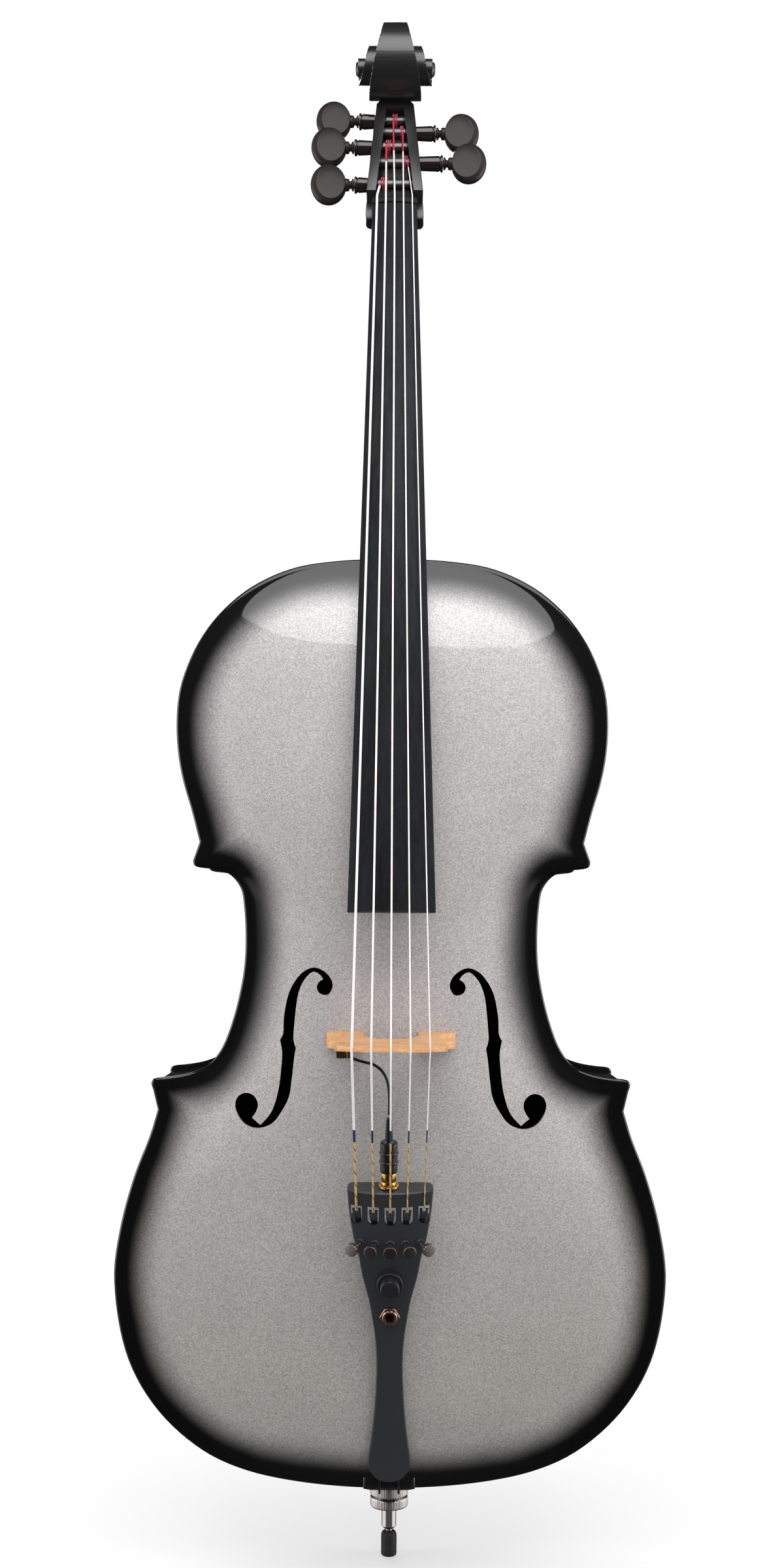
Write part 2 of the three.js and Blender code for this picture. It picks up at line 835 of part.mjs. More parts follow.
function neckBlock() {
  const top = bodyBase + bodyLength - innerWall;
  return cut(blockInside(neckBlockWidth, neckBlockLength, top - neckBlockLength / 2), neckRoot(seatGap));
}

function endBlock() {
  const bottom = bodyBase + innerWall;
  const block = blockInside(endBlockWidth, endBlockLength, bottom + endBlockLength / 2);
  return cut(block, rod(clearOf(plugConeRadius), bodyBase, bottom + endBlockLength + overrun));
}

function soundPost() {
  const post = rod(postRadius, -halfDepth - backArch, halfDepth + topArch, smallSides).rotateX(Math.PI / 2);
  const placed = moved(post, postOffset, 0, bodyBase + bridgeStation - postBelowBridge);
  return common(placed, innerSpace(seatGap));
}

// Where the strings lie: the bridge's crown, the nut and the frames that follow from them
const bridgeZ = bodyBase + bridgeStation;
const bridgeTopY = -halfDepth - archHeight(topArch, bridgeZ, 1) - bridgeHeight;
const nutPoint = at(
  0,
  bridgeTopY + stringLength * Math.sin(stringTilt),
  bridgeZ + stringLength * Math.cos(stringTilt),
);
const boardTilt = stringTilt - Math.atan((endStringHeight - nutStringHeight) / boardLength);
const boardGroup = tiltedGroup(at(0, nutPoint.y + nutStringHeight, nutPoint.z), -boardTilt);
const pegboxGroup = tiltedGroup(nutPoint, -pegboxTilt);

function stringAcross(i, spacing) {
  return (i - (stringCount - 1) / 2) * spacing;
}

function sagOf(radius, across) {
  return radius - Math.sqrt(radius * radius - across * across);
}

// Fingerboard, in the board group: its crest is the line Y = 0, running down from Z = 0
function boardHalfWidth(z) {
  return mix(boardWidthAtNut, boardWidthAtEnd, -z / boardLength) / 2;
}

function glueDepth(z) {
  const atNut = sagOf(boardTopRadius, boardWidthAtNut / 2) + boardSideHeight;
  const atEnd = sagOf(boardTopRadius, boardWidthAtEnd / 2) + boardSideHeight;
  return mix(atNut, atEnd, -z / boardLength);
}

function boardRing(z) {
  const half = boardHalfWidth(z);
  const steps = 7;
  const ring = [];
  for (let i = 0; i <= steps; i += 1) {
    const x = mix(half, -boardBevelShare * half, i / steps);
    ring.push(at(x, sagOf(boardTopRadius, x), z));
  }
  ring.push(at(-half, sagOf(boardTopRadius, half), z));
  ring.push(at(-half, glueDepth(z), z), at(half, glueDepth(z), z));
  return ring;
}

function fingerboard() {
  return loft([boardRing(-boardLength), boardRing(-seatGap)]);
}

// The neck's handle behind the board, then its heel, pegbox and scroll
function handleRing(z) {
  const half = boardHalfWidth(Math.min(z, 0)) - neckInset;
  const front = glueDepth(z) + seatGap;
  const steps = 8;
  const ring = [at(half, front, z)];
  const side = boardSideHeight / 2;
  for (let i = 0; i <= steps; i += 1) {
    const angle = (i / steps) * Math.PI;
    ring.push(at(half * Math.cos(angle), front + side + (neckDepth - side) * Math.sin(angle), z));
  }
  ring.push(at(-half, front, z));
  return ring;
}

function handle() {
  const upper = nutThickness + seatGap;
  return outOf(boardGroup, loft([-neckHandleRun, -neckHandleRun / 2, 0, upper].map(handleRing)));
}

// World Y of the glue face of the neck at a height
function gluePlaneY(z, gap) {
  const local = (z - boardGroup.position.z) / Math.cos(boardTilt);
  const depth = glueDepth(local) + gap;
  return boardGroup.position.y + local * Math.sin(boardTilt) + depth / Math.cos(boardTilt);
}

function heelRing(z, back, backHalf, spread = 0) {
  const local = (z - boardGroup.position.z) / Math.cos(boardTilt);
  const frontHalf = boardHalfWidth(local) - neckInset + spread;
  const middleHalf = Math.min(heelMiddleWidth / 2, frontHalf) + spread;
  const front = gluePlaneY(z, seatGap) - spread;
  const side = [
    at(frontHalf, front, z),
    at(frontHalf, front + boardSideHeight, z),
    at(mix(frontHalf, middleHalf, heelFrontShares[0]), mix(front, back, heelFrontShares[1]), z),
    at(middleHalf, mix(front, back, heelMiddleShare), z),
    at(mix(middleHalf, backHalf, heelBackShares[0]), mix(front, back, heelBackShares[1]), z),
    at(backHalf, back, z),
  ];
  return [...side, ...[...side].reverse().map((p) => at(-p.x, p.y, p.z))];
}

const heelBackY = ribDepth / 2 - seatGap;
const bodyTop = bodyBase + bodyLength;
// The heel's back edge as [height over the body, share of the way from the neck's back to the button,
// share of the button's half width]
const heelShares = [
  [0, 1, 1], [0.55, 1, 0.95], [1, 1, 0.72], [1.15, 0.93, 0.6], [1.45, 0.72, 0.62], [2, 0.45, 0.7],
  [2.9, 0.2, 0.75], [4.2, 0.04, 0.7],
];

function heel() {
  const rings = heelShares.map(([up, back, wide]) => {
    const z = bodyTop + up * buttonLength;
    const neckBack = gluePlaneY(z, seatGap) + neckDepth - 2 * neckInset;
    return heelRing(z, mix(neckBack, heelBackY, back), wide * buttonRadius);
  });
  return loft(rings);
}

function neckRoot(spread) {
  const low = bodyTop - edgeOverhang - mortiseDepth - spread;
  const high = bodyTop + spread;
  return loft([low, high].map((z) => heelRing(z, heelBackY + (spread && overrun), buttonRadius, spread)));
}

function pegboxRing(along, half, front, back) {
  const soft = Math.min(pegboxCornerCut, (back - front) / 2);
  return [
    at(half, front, along), at(half, back - soft, along), at(half - soft, back, along),
    at(soft - half, back, along), at(-half, back - soft, along), at(-half, front, along),
  ];
}

function pegboxWidthAt(along) {
  const share = (along - pegboxRootStation) / (pegboxTopStation - pegboxRootStation);
  return mix(pegboxRootWidth, pegboxTopWidth, share);
}

function cavityWidthAt(along) {
  const share = (along - cavityStart) / (pegboxTopStation - cavityStart);
  return mix(cavityRootWidth, cavityTopWidth, share);
}

function pegbox() {
  const shoulder = pegboxShoulderWidth / 2;
  const boardEnd = glueDepth(0) + nutStringHeight;
  const neckBack = boardEnd + neckDepth;
  const top = cavityEnd + overrun;
  const root = loft([
    pegboxRing(-shoulderDrop, shoulder - seatGap, boardEnd + nutThickness / 2, neckBack / 2),
    pegboxRing(-shoulderDrop / 2, shoulder, boardEnd + nutThickness / 2, shoulderDepth),
    pegboxRing(0, shoulder, boardEnd + nutThickness / 3, pegboxDepth - overrun),
    pegboxRing(pegboxRootStation, pegboxRootWidth / 2, boardEnd + nutThickness / 4, pegboxDepth),
  ]);
  const cheeks = loft([
    pegboxRing(pegboxRootStation - seatGap, pegboxRootWidth / 2, -pegboxFrontRise, pegboxDepth),
    pegboxRing(top, pegboxWidthAt(top) / 2, -pegboxFrontRise, pegboxTopDepth),
    pegboxRing(scrollAlong - scrollRadius / 2, pegboxTopWidth / 3, -pegboxFrontRise, pegboxTopDepth),
  ]);
  return joined(root, cheeks);
}

function cavity() {
  const ring = (along, floor) => {
    const half = cavityWidthAt(along) / 2;
    const front = -pegboxFrontRise - overrun;
    return [
      at(half, front, along), at(half, floor, along), at(-half, floor, along), at(-half, front, along),
    ];
  };
  return loft([ring(cavityStart, cavityFloor), ring(cavityEnd, cavityTopFloor)]);
}

function scrollRim(quarters) {
  const i = Math.min(Math.floor(quarters), scrollShares.length - 2);
  const [low, high] = [scrollShares[i], scrollShares[i + 1]];
  const radius = mix(low[0], high[0], quarters - i) * scrollRadius;
  return { radius, half: mix(low[1], high[1], quarters - i) * scrollEyeWidth / 2 };
}

// One turn of the scroll: a spiral disc whose rim winds inwards and widens, with dished sides.
// Its end drops square to the width that it began with.
function scrollTurn(turn) {
  const places = [];
  const corners = [];
  const count = scrollSteps + 2;
  const startHalf = scrollRim(scrollStart + 4 * turn).half;
  for (let i = 0; i < count; i += 1) {
    const quarters = scrollStart + 4 * (turn + Math.min(i / scrollSteps, 1));
    const angle = quarters * Math.PI / 2;
    const rim = scrollRim(quarters);
    const half = i > scrollSteps ? startHalf : rim.half;
    const y = rim.radius * Math.sin(angle);
    const z = -rim.radius * Math.cos(angle);
    places.push(half, y, z, -half, y, z);
  }
  const middle = 2 * count;
  places.push(startHalf, 0, 0, -startHalf, 0, 0);
  for (let i = 0; i < count; i += 1) {
    const a = 2 * i;
    const b = 2 * ((i + 1) % count);
    corners.push(a, b, middle, b + 1, a + 1, middle + 1);
    corners.push(a, a + 1, b, b, a + 1, b + 1);
  }
  const geometry = new THREE.BufferGeometry();
  geometry.setAttribute('position', new THREE.Float32BufferAttribute(places, 3));
  geometry.setIndex(corners);
  return geometryOf(solidOf(geometry));
}

function scroll() {
  const turns = Array.from({ length: scrollTurns }, (_, turn) => scrollTurn(turn));
  const eye = rod(scrollEyeRadius, -scrollEyeWidth / 2, scrollEyeWidth / 2, smallSides).rotateY(Math.PI / 2);
  const centre = pointOutOf(pegboxGroup, at(0, -scrollForward, scrollAlong));
  return moved(joined(...turns, eye), centre.x, centre.y, centre.z);
}

function nutSeat() {
  const width = boardWidthAtNut + 2 * nutWidthSpare + 2 * seatGap;
  const height = glueDepth(0) + seatGap + overrun;
  const block = box(width, height, nutThickness + 2 * seatGap, 0, -height / 2, nutThickness / 2);
  return outOf(boardGroup, moved(block, 0, glueDepth(0) + seatGap, 0));
}

function pegHoles() {
  return pegTable.flatMap((row) => {
    const half = pegboxWidthAt(row.along) / 2 + overrun;
    const shell = rod(clearOf(pegShellRadius, seatGap, smallSides), 0, half, smallSides);
    const bearing = rod(clearOf(pegShaftRadius, seatGap, smallSides), 0, half, smallSides);
    return [
      outOf(pegboxGroup, moved(shell.rotateY(row.side * Math.PI / 2), 0, pegAxisDepth, row.along)),
      outOf(pegboxGroup, moved(bearing.rotateY(-row.side * Math.PI / 2), 0, pegAxisDepth, row.along)),
    ];
  });
}

function neck() {
  const head = cut(outOf(pegboxGroup, pegbox()), outOf(pegboxGroup, cavity()));
  const whole = joined(handle(), heel(), neckRoot(0), head, scroll());
  return cut(whole, nutSeat(), ...pegHoles());
}

// Strings
function nutSag(across) {
  return sagOf(boardTopRadius, across);
}

const nutRear = nutThickness;

function stringAtNut(i, along) {
  const x = stringAcross(i, nutSpacing);
  return pointOutOf(boardGroup, at(x, nutSag(x) - nutStringHeight, along));
}

function stringAtBridge(i) {
  const x = stringAcross(i, bridgeSpacing);
  return at(x, bridgeTopY + sagOf(bridgeCrownRadius, x), bridgeZ);
}

function stringPegEnd(i) {
  const row = pegTable[i];
  const tangent = pointOutOf(pegboxGroup, at(row.windStart, pegAxisDepth - windingRadius, row.along));
  const rear = stringAtNut(i, nutRear);
  const clear = windingRadius + windingWireRadius + seatGap + stringRadii[i];
  const back = Math.sqrt(clear * clear - windingRadius * windingRadius);
  const way = tangent.clone().sub(rear).normalize();
  return tangent.addScaledVector(way, -back);
}

// Tailpiece group: its top end is Z = 0 and its front crest is Y = 0
const tailTop = at(0, bridgeTopY + tailCrestForward, bridgeZ - tailTopFromBridge);
const tailGroup = tiltedGroup(tailTop, tailTilt);

function tailFront(x) {
  return sagOf(tailFrontRadius, x);
}

function stringAtTail(i) {
  const x = stringAcross(i, tailSpacing);
  const radius = stringRadii[i];
  const edge = at(x, tailFront(x) - radius - seatGap, -slotStart + radius);
  const inside = at(x, tailFront(x) + radius, seatGap - leverForkStart);
  return [pointOutOf(tailGroup, edge), pointOutOf(tailGroup, inside)];
}

function stringPath(i) {
  const tail = stringAtTail(i);
  return [stringPegEnd(i), stringAtNut(i, nutRear), stringAtNut(i, 0), stringAtBridge(i), ...tail];
}

function stringTube(i, extra = 0) {
  return tube(stringPath(i), stringRadii[i] + extra, stringSides);
}

const stringTools = stringRadii.map((_, i) => stringTube(i, seatGap));

function nut() {
  const half = boardWidthAtNut / 2 + nutWidthSpare;
  const steps = 6;
  const top = [];
  for (let i = 0; i <= steps; i += 1) {
    const x = mix(half, -half, i / steps);
    top.push([x, nutSag(x) - nutStringHeight]);
  }
  const ring = (z) => [...top, [-half, glueDepth(0)], [half, glueDepth(0)]].map(([x, y]) => at(x, y, z));
  const block = loft([ring(0), ring(nutThickness)]);
  return cut(block, ...stringTools.map((tool) => into(boardGroup, tool)));
}

// Saddle under the tail cord, let into the edge of the top plate
function saddleNotch() {
  const length = saddleLength + seatGap + overrun;
  const middle = bodyBase + saddleLength + seatGap - length / 2;
  const across = saddleWidth + 2 * seatGap;
  return box(across, plateThickness + 2 * overrun, length, 0, plateThickness / 2 - halfDepth, middle);
}

function saddle() {
  const back = plateThickness - halfDepth;
  const front = -halfDepth - saddleRise;
  const soft = saddleRise / 3;
  const ring = (x) => [
    at(x, back, bodyBase - saddleLip), at(x, -halfDepth, bodyBase - saddleLip),
    at(x, front + soft, bodyBase - saddleLip / 2), at(x, front, bodyBase + soft),
    at(x, front, bodyBase + saddleLength / 2),
    at(x, -halfDepth - soft, bodyBase + saddleLength), at(x, back, bodyBase + saddleLength),
  ];
  return loft([ring(-saddleWidth / 2), ring(saddleWidth / 2)]);
}

// Bridge, standing on the top plate and thinning to its crown on the fingerboard's side
const bridgeBackZ = bridgeZ - bridgeCrownThickness / 2;

function bridgeOutline() {
  const half = bridgeWidth / 2;
  const low = (x) => [x, -bridgeFootSink];
  const arch = bridgeArchShares.map(([out, up]) => [out * half, up * bridgeHeight]);
  const side = bridgeSideShares.map(([out, up]) => [out * half, up * bridgeHeight]);
  const inner = bridgeArchShares[bridgeArchShares.length - 1][0] * half;
  const crown = [];
  const steps = 8;
  for (let i = 0; i <= steps; i += 1) {
    const x = mix(bridgeCrownHalf, 0, i / steps);
    crown.push([x, bridgeHeight - sagOf(bridgeCrownRadius, x)]);
  }
  const right = [...arch, low(inner), low(half), ...side, ...crown];
  const left = right.slice(1, -1).reverse().map(([x, h]) => [-x, h]);
  return [...right, ...left];
}

function bridge() {
  const top = -halfDepth - archHeight(topArch, bridgeZ, 1);
  const outline = bridgeOutline().map(([x, h]) => new THREE.Vector2(x, -h));
  const settings = { depth: bridgeFootThickness, bevelEnabled: false };
  const blank = new THREE.ExtrudeGeometry(new THREE.Shape(outline), settings);
  const body = moved(geometryOf(solidOf(blank)), 0, top, bridgeBackZ);
  const thinning = Math.atan((bridgeFootThickness - bridgeCrownThickness) / bridgeHeight);
  const wedge = box(2 * bridgeWidth, 2 * bridgeHeight, bridgeFootThickness, 0, -bridgeHeight, 0);
  const planed = moved(
    moved(wedge, 0, 0, bridgeFootThickness / 2).rotateX(thinning),
    0, top, bridgeBackZ + bridgeFootThickness,
  );
  const heart = rod(heartRadius, -overrun, bridgeFootThickness + overrun, smallSides);
  const eye = moved(heart, 0, top - heartHeightShare * bridgeHeight, bridgeBackZ);
  const seat = moved(filledPlate(-halfDepth, -1, topArch), 0, -seatGap, 0);
  return cut(body, planed, eye, seat, ...stringTools);
}

// Pegs: each is drawn along +Z from the middle of the pegbox, then laid along X to its side
function pegPart(row, geometry) {
  return geometry.rotateY(row.side * Math.PI / 2);
}

function pegHousing(row) {
  const inner = cavityWidthAt(row.along) / 2;
  const outer = row.reach - pegWaistLength;
  const ring = outer - pegRimLength;
  return pegPart(row, turned([
    [pegShellBore, inner], [pegShellRadius, inner], [pegShellRadius, ring], [pegRimRadius, ring + seatGap],
    [pegRimRadius, outer - seatGap], [pegShellRadius, outer], [pegShellBore, outer], [pegShellBore, inner],
  ], smallSides));
}

function pegShaft(row) {
  const inner = cavityWidthAt(row.along) / 2;
  const far = pegboxWidthAt(row.along) / 2 - seatGap;
  return pegPart(row, turned([
    [0, -far], [pegShaftRadius - seatGap, -far], [pegShaftRadius, seatGap - far],
    [pegShaftRadius, inner - seatGap], [pegStemRadius, inner - seatGap],
    [pegStemRadius, inner + pegStubLength], [0, inner + pegStubLength],
  ], smallSides));
}

function pegHead(row) {
  const waist = row.reach - pegWaistLength;
  const neckRadius = pegStemRadius;
  const stem = turned([
    [0, waist - pegStemLength], [pegStemRadius, waist - pegStemLength], [pegStemRadius, waist + seatGap],
    [pegCollarRadius, waist + seatGap], [pegCollarRadius, waist + pegCollarLength],
    [neckRadius, waist + pegCollarLength], [neckRadius, row.reach - pegCollarLength],
    [pegCollarRadius, row.reach - seatGap], [0, row.reach + pegHeadThickness / 2],
  ], stemSides);
  const lens = turned(pegLensShares.map(([out, up]) => [out, up * pegHeadThickness / 2]), smallSides);
  lens.scale(pegHeadHeight / 2, pegHeadLength / 2, 1);
  const disc = lens.rotateX(Math.PI / 2);
  return pegPart(row, joined(stem, moved(disc, 0, 0, row.reach + pegHeadLength / 2)));
}

// The turns that a string's silk end takes round its shaft
function windingPath(row) {
  const lead = 2 * windingWireRadius;
  const point = (turns) => {
    const angle = turns * 2 * Math.PI;
    const x = row.windStart + row.windWay * windingPitch * turns;
    return at(x, -windingRadius * Math.cos(angle), windingRadius * Math.sin(angle));
  };
  const steps = (row.loops - 1 / 2) * windingSteps;
  const points = Array.from({ length: steps + 1 }, (_, i) => point(i / windingSteps));
  const first = points[0].clone().add(at(0, 0, -lead));
  const end = points[points.length - 1];
  return [first, ...points, end.clone().add(at(0, 0, -lead))];
}

// The least distance between two stretches of one winding that lie a half turn or more apart
function leastGap(points, radius) {
  let least = Infinity;
  for (let i = 0; i < points.length; i += 1) {
    for (let j = i + windingSteps / 2; j < points.length; j += 1) {
      least = Math.min(least, points[i].distanceTo(points[j]));
    }
  }
  return least - 2 * radius;
}

function pegWinding(row) {
  return tube(windingPath(row), windingWireRadius, windingSides);
}

function pegPlace(row) {
  return pointOutOf(pegboxGroup, at(0, pegAxisDepth, row.along));
}

// The strings' way on the pegbox is tilted, so each peg's turned parts are tilted with it,
// while its head faces the front
function addPeg(row, number) {
  const place = pegPlace(row);
  const tilted = tiltedGroup(place, -pegboxTilt);
  cello.add(tilted);
  piece(`peg_housing_${number}`, pegHousing(row), pegShellBlack(), tilted);
  piece(`peg_shaft_${number}`, pegShaft(row), pegShellBlack(), tilted);
  piece(`peg_winding_${number}`, pegWinding(row), redSilk(), tilted);
  const head = piece(`peg_head_${number}`, pegHead(row), pegComposite());
  head.position.copy(place);
  const least = leastGap(windingPath(row), windingWireRadius);
  console.log(`peg_winding_${number} least gap`, least.toFixed(2), 'mm');
}

// Tailpiece
function tailRing(lengthShare, widthShare, depthShare) {
  const z = -lengthShare * tailLength;
  const half = widthShare * tailWidth / 2;
  const depth = depthShare * tailDepth;
  const edge = tailFront(half);
  const soft = Math.min(half, depth) / 4;
  const steps = 6;
  const ring = [];
  for (let i = 0; i <= steps; i += 1) {
    const x = mix(half, -half, i / steps);
    ring.push(at(x, tailFront(x), z));
  }
  ring.push(at(-half, Math.max(depth - soft, edge + soft), z), at(soft - half, depth, z));
  ring.push(at(half - soft, depth, z), at(half, Math.max(depth - soft, edge + soft), z));
  return ring;
}

function tailHalfWidth(z) {
  const share = z / tailLength;
  const i = Math.max(tailShares.findIndex(([along]) => along >= share), 1);
  const [low, lowWidth] = tailShares[i - 1];
  const [high, highWidth] = tailShares[i];
  return mix(lowWidth, highWidth, (share - low) / (high - low)) * tailWidth / 2;
}

function tailCavity() {
  const ring = (z) => {
    const half = tailHalfWidth(z) - tailSideWall;
    const wall = (x) => at(x, tailFront(x) + tailWall, -z);
    const deep = tailDepth + overrun;
    return [
      wall(half), wall(half / 2), wall(0), wall(-half / 2), wall(-half),
      at(-half, deep, -z), at(half, deep, -z),
    ];
  };
  const stations = tailShares.map(([along]) => along * tailLength);
  const between = stations.filter((z) => z > tailCavityStart + tailWall && z < tailCavityEnd - tailWall);
  return loft([tailCavityEnd, ...between.reverse(), tailCavityStart].map(ring));
}

function slotTool(i) {
  const x = stringAcross(i, tailSpacing);
  const half = slotWidth / 2;
  const round = slotEnd - half;
  const points = [[x - half, -slotStart], [x - half, -round]];
  const steps = 4;
  for (let k = 1; k < steps; k += 1) {
    const angle = (k / steps) * Math.PI;
    points.push([x - half * Math.cos(angle), -round - half * Math.sin(angle)]);
  }
  points.push([x + half, -round], [x + half, -slotStart]);
  return slab(points, 2 * (tailWall + tailFront(tailWidth / 2) + overrun));
}

// The frame of a tuning screw: its +Z points out of the tailpiece's front, fanned to the sides
function screwFrame(i) {
  const x = stringAcross(i, screwSpacing);
  const frame = new THREE.Matrix4().makeTranslation(x, tailFront(x), -screwStation);
  frame.multiply(new THREE.Matrix4().makeRotationX(Math.PI / 2));
  const fan = screwFan * (i - (stringCount - 1) / 2);
  return frame.multiply(new THREE.Matrix4().makeRotationY(fan));
}

function inFrame(frame, geometry) {
  return geometry.clone().applyMatrix4(frame);
}

function bush(i) {
  return inFrame(screwFrame(i), rod(bushRadius, -tailWall / 2, bushHeight, stemSides));
}

function bushHole(i) {
  const radius = clearOf(screwRadius, seatGap, stemSides);
  return inFrame(screwFrame(i), rod(radius, -2 * tailWall, bushHeight + overrun, stemSides));
}

// A turned piece that stands out of the tailpiece's front at a station below its top end
function frontFrame(station) {
  const frame = new THREE.Matrix4().makeTranslation(0, 0, -station);
  return frame.multiply(new THREE.Matrix4().makeRotationX(Math.PI / 2));
}

function pocket(station, radius) {
  return inFrame(frontFrame(station), rod(radius, -tailDepth - overrun, -tailWall, smallSides));
}

function throughHole(station, radius) {
  return inFrame(frontFrame(station), rod(radius, -tailDepth - overrun, overrun, smallSides));
}

function tailEye(side) {
  const radius = clearOf(tailCordRadius, seatGap, smallSides);
  const hole = rod(radius, -tailLength - overrun, tailEyeDepth - tailLength, smallSides);
  return moved(hole, side * tailEyeSpacing / 2, tailEyeY(), 0);
}

function tailEyeY() {
  const last = tailShares[tailShares.length - 3];
  return last[2] * tailDepth / 2;
}

function tailpiece() {
  const blank = loft(tailShares.map((row) => tailRing(...row)));
  const bushes = stringRadii.map((_, i) => bush(i));
  const slots = stringRadii.map((_, i) => slotTool(i));
  const holes = stringRadii.map((_, i) => bushHole(i));
  const clear = (radius) => clearOf(radius, seatGap, smallSides);
  const socketBore = rod(clear(socketBarrelRadius), -tailCavityStart - overrun, overrun, smallSides);
  const socketHole = moved(socketBore, socketAcross, socketDepth, 0);
  return cut(
    joined(blank, ...bushes), tailCavity(), ...slots, ...holes, socketHole, tailEye(-1), tailEye(1),
    pocket(knobStation, clear(potRadius)), throughHole(knobStation, clear(potSleeveRadius)),
    pocket(jackStation, clear(jackBodyRadius)), throughHole(jackStation, clear(jackBushRadius)),
  );
}

// A tuning lever: a fork in its slot, a pivot and an arm that runs under its screw
function leverProfile(i) {
  const x = stringAcross(i, tailSpacing);
  const front = tailFront(Math.abs(x) + slotWidth / 2);
  const under = front + tailWall + seatGap;
  const arm = Math.max(leverPivotDepth, under + leverThickness);
  return [
    [front, -leverForkStart], [front + leverThickness, -leverForkStart], [arm, leverThickness - leverPivot],
    [arm + leverThickness / 2, -leverPivot], [arm + leverThickness / 2, -leverEnd],
    [arm - leverThickness / 2, -leverEnd], [arm - leverThickness / 2, leverThickness / 2 - leverPivot],
    [front, seatGap + slotWidth / 2 - slotEnd],
  ];
}

// The fork lies under its string and the arm leads in to its screw, narrower
function tunerLever(i) {
  const along = (z) => (z + leverForkStart) / (leverForkStart - screwStation);
  const middle = (z) => mix(stringAcross(i, tailSpacing), stringAcross(i, screwSpacing), along(z));
  const blank = new THREE.Shape(leverProfile(i).map(([y, z]) => new THREE.Vector2(y, z)));
  const unit = new THREE.ExtrudeGeometry(blank, { depth: 1, bevelEnabled: false });
  unit.applyMatrix4(new THREE.Matrix4().makeBasis(at(0, 1, 0), at(0, 0, 1), at(1, 0, 0)));
  const places = unit.attributes.position;
  for (let k = 0; k < places.count; k += 1) {
    const z = places.getZ(k);
    const width = mix(leverForkWidth, leverArmWidth, Math.min(along(z), 1));
    places.setX(k, middle(z) + (places.getX(k) - 1 / 2) * width);
  }
  const x = middle(-leverForkStart);
  const gap = box(leverForkGap, 4 * leverThickness, 2 * leverThickness, x, 0, -leverForkStart);
  return cut(unit, moved(gap, 0, leverProfile(i)[0][0], 0));
}

function leverArmFront(i) {
  const profile = leverProfile(i);
  return profile[5][0];
}

function tunerScrew(i) {
  const x = stringAcross(i, screwSpacing);
  const reach = leverArmFront(i) - tailFront(x);
  const tip = -reach + seatGap + screwRadius * Math.abs(Math.tan(screwFan * (i - (stringCount - 1) / 2)));
  const headFrom = screwStandOut - screwHeadHeight;
  const shank = rod(screwRadius, tip, headFrom + seatGap, stemSides);
  const head = knurled(screwHeadRadius, headFrom, screwStandOut, stemSides);
  return joined(shank, head);
}

// A short cylinder with shallow flats round its rim
function knurled(radius, from, to, teeth) {
  const points = Array.from({ length: 2 * teeth }, (_, i) => {
    const angle = (i / teeth) * Math.PI;
    const reach = radius * (i % 2 ? 1 - knurlShare : 1);
    return new THREE.Vector2(reach * Math.cos(angle), reach * Math.sin(angle));
  });
  const settings = { depth: to - from, bevelEnabled: false };
  const blank = new THREE.ExtrudeGeometry(new THREE.Shape(points), settings);
  return moved(geometryOf(solidOf(blank)), 0, 0, from);
}

function addTuner(i) {
  piece(`tuner_lever_${i + 1}`, tunerLever(i), levers(), tailGroup);
  const screw = piece(`tuner_screw_${i + 1}`, tunerScrew(i), brushedNickel(), tailGroup);
  screw.applyMatrix4(screwFrame(i));
}

// Volume and tone control, knobs and jack, drawn along +Z out of the tailpiece's front
function controlPot() {
  const back = -tailWall - seatGap;
  const sleeveTop = knobLift + knobGrip;
  const shaftTop = knobLift + lowerKnobHeight + knobGrip;
  return turned([
    [0, back - potDepth], [potRadius, back - potDepth], [potRadius, back], [potSleeveRadius, back],
    [potSleeveRadius, sleeveTop], [potShaftRadius, sleeveTop], [potShaftRadius, shaftTop], [0, shaftTop],
  ], smallSides);
}

function lowerKnob() {
  const bore = clearOf(potSleeveRadius, seatGap, smallSides);
  const small = clearOf(potShaftRadius, seatGap, smallSides);
  const step = knobLift + knobGrip + seatGap;
  const top = knobLift + lowerKnobHeight;
  const body = knurled(lowerKnobRadius, knobLift, top, knurlTeeth);
  const wide = rod(bore, knobLift - overrun, step, smallSides);
  return cut(body, wide, rod(small, 0, top + overrun, smallSides));
}

function upperKnob() {
  const bore = clearOf(potShaftRadius, seatGap, smallSides);
  const bottom = knobLift + lowerKnobHeight + seatGap;
  const top = bottom + upperKnobHeight;
  const shaftTop = knobLift + lowerKnobHeight + knobGrip;
  const body = knurled(upperKnobRadius, bottom, top, stemSides);
  return cut(body, rod(bore, bottom - overrun, shaftTop + seatGap, smallSides));
}

function outputJack() {
  const back = -tailWall - seatGap;
  const body = rod(jackBodyRadius, back - jackBodyLength, back, smallSides);
  const neckOfJack = rod(jackBushRadius, back - seatGap, jackNutHeight, smallSides);
  const hexagon = rod(jackNutRadius, seatGap, jackNutHeight, 6).rotateZ(Math.PI / 6);
  const ring = rod(jackRingRadius, seatGap, jackRingHeight);
  const bore = rod(jackBoreRadius, -jackBoreDepth, jackRingHeight + overrun);
  return cut(joined(body, neckOfJack, hexagon, ring), bore);
}

function addFront(name, station, geometry, material) {
  const mesh = piece(name, geometry, material, tailGroup);
  mesh.applyMatrix4(frontFrame(station));
}

// Socket and plug on the tailpiece's top end, drawn along +Z
function pickupSocket() {
  const flangeTop = seatGap + socketFlangeHeight;
  return turned([
    [0, -socketTailLength], [socketBarrelRadius, -socketTailLength], [socketBarrelRadius, seatGap],
    [socketFlangeRadius, seatGap], [socketFlangeRadius - seatGap, flangeTop], [0, flangeTop],
  ]);
}

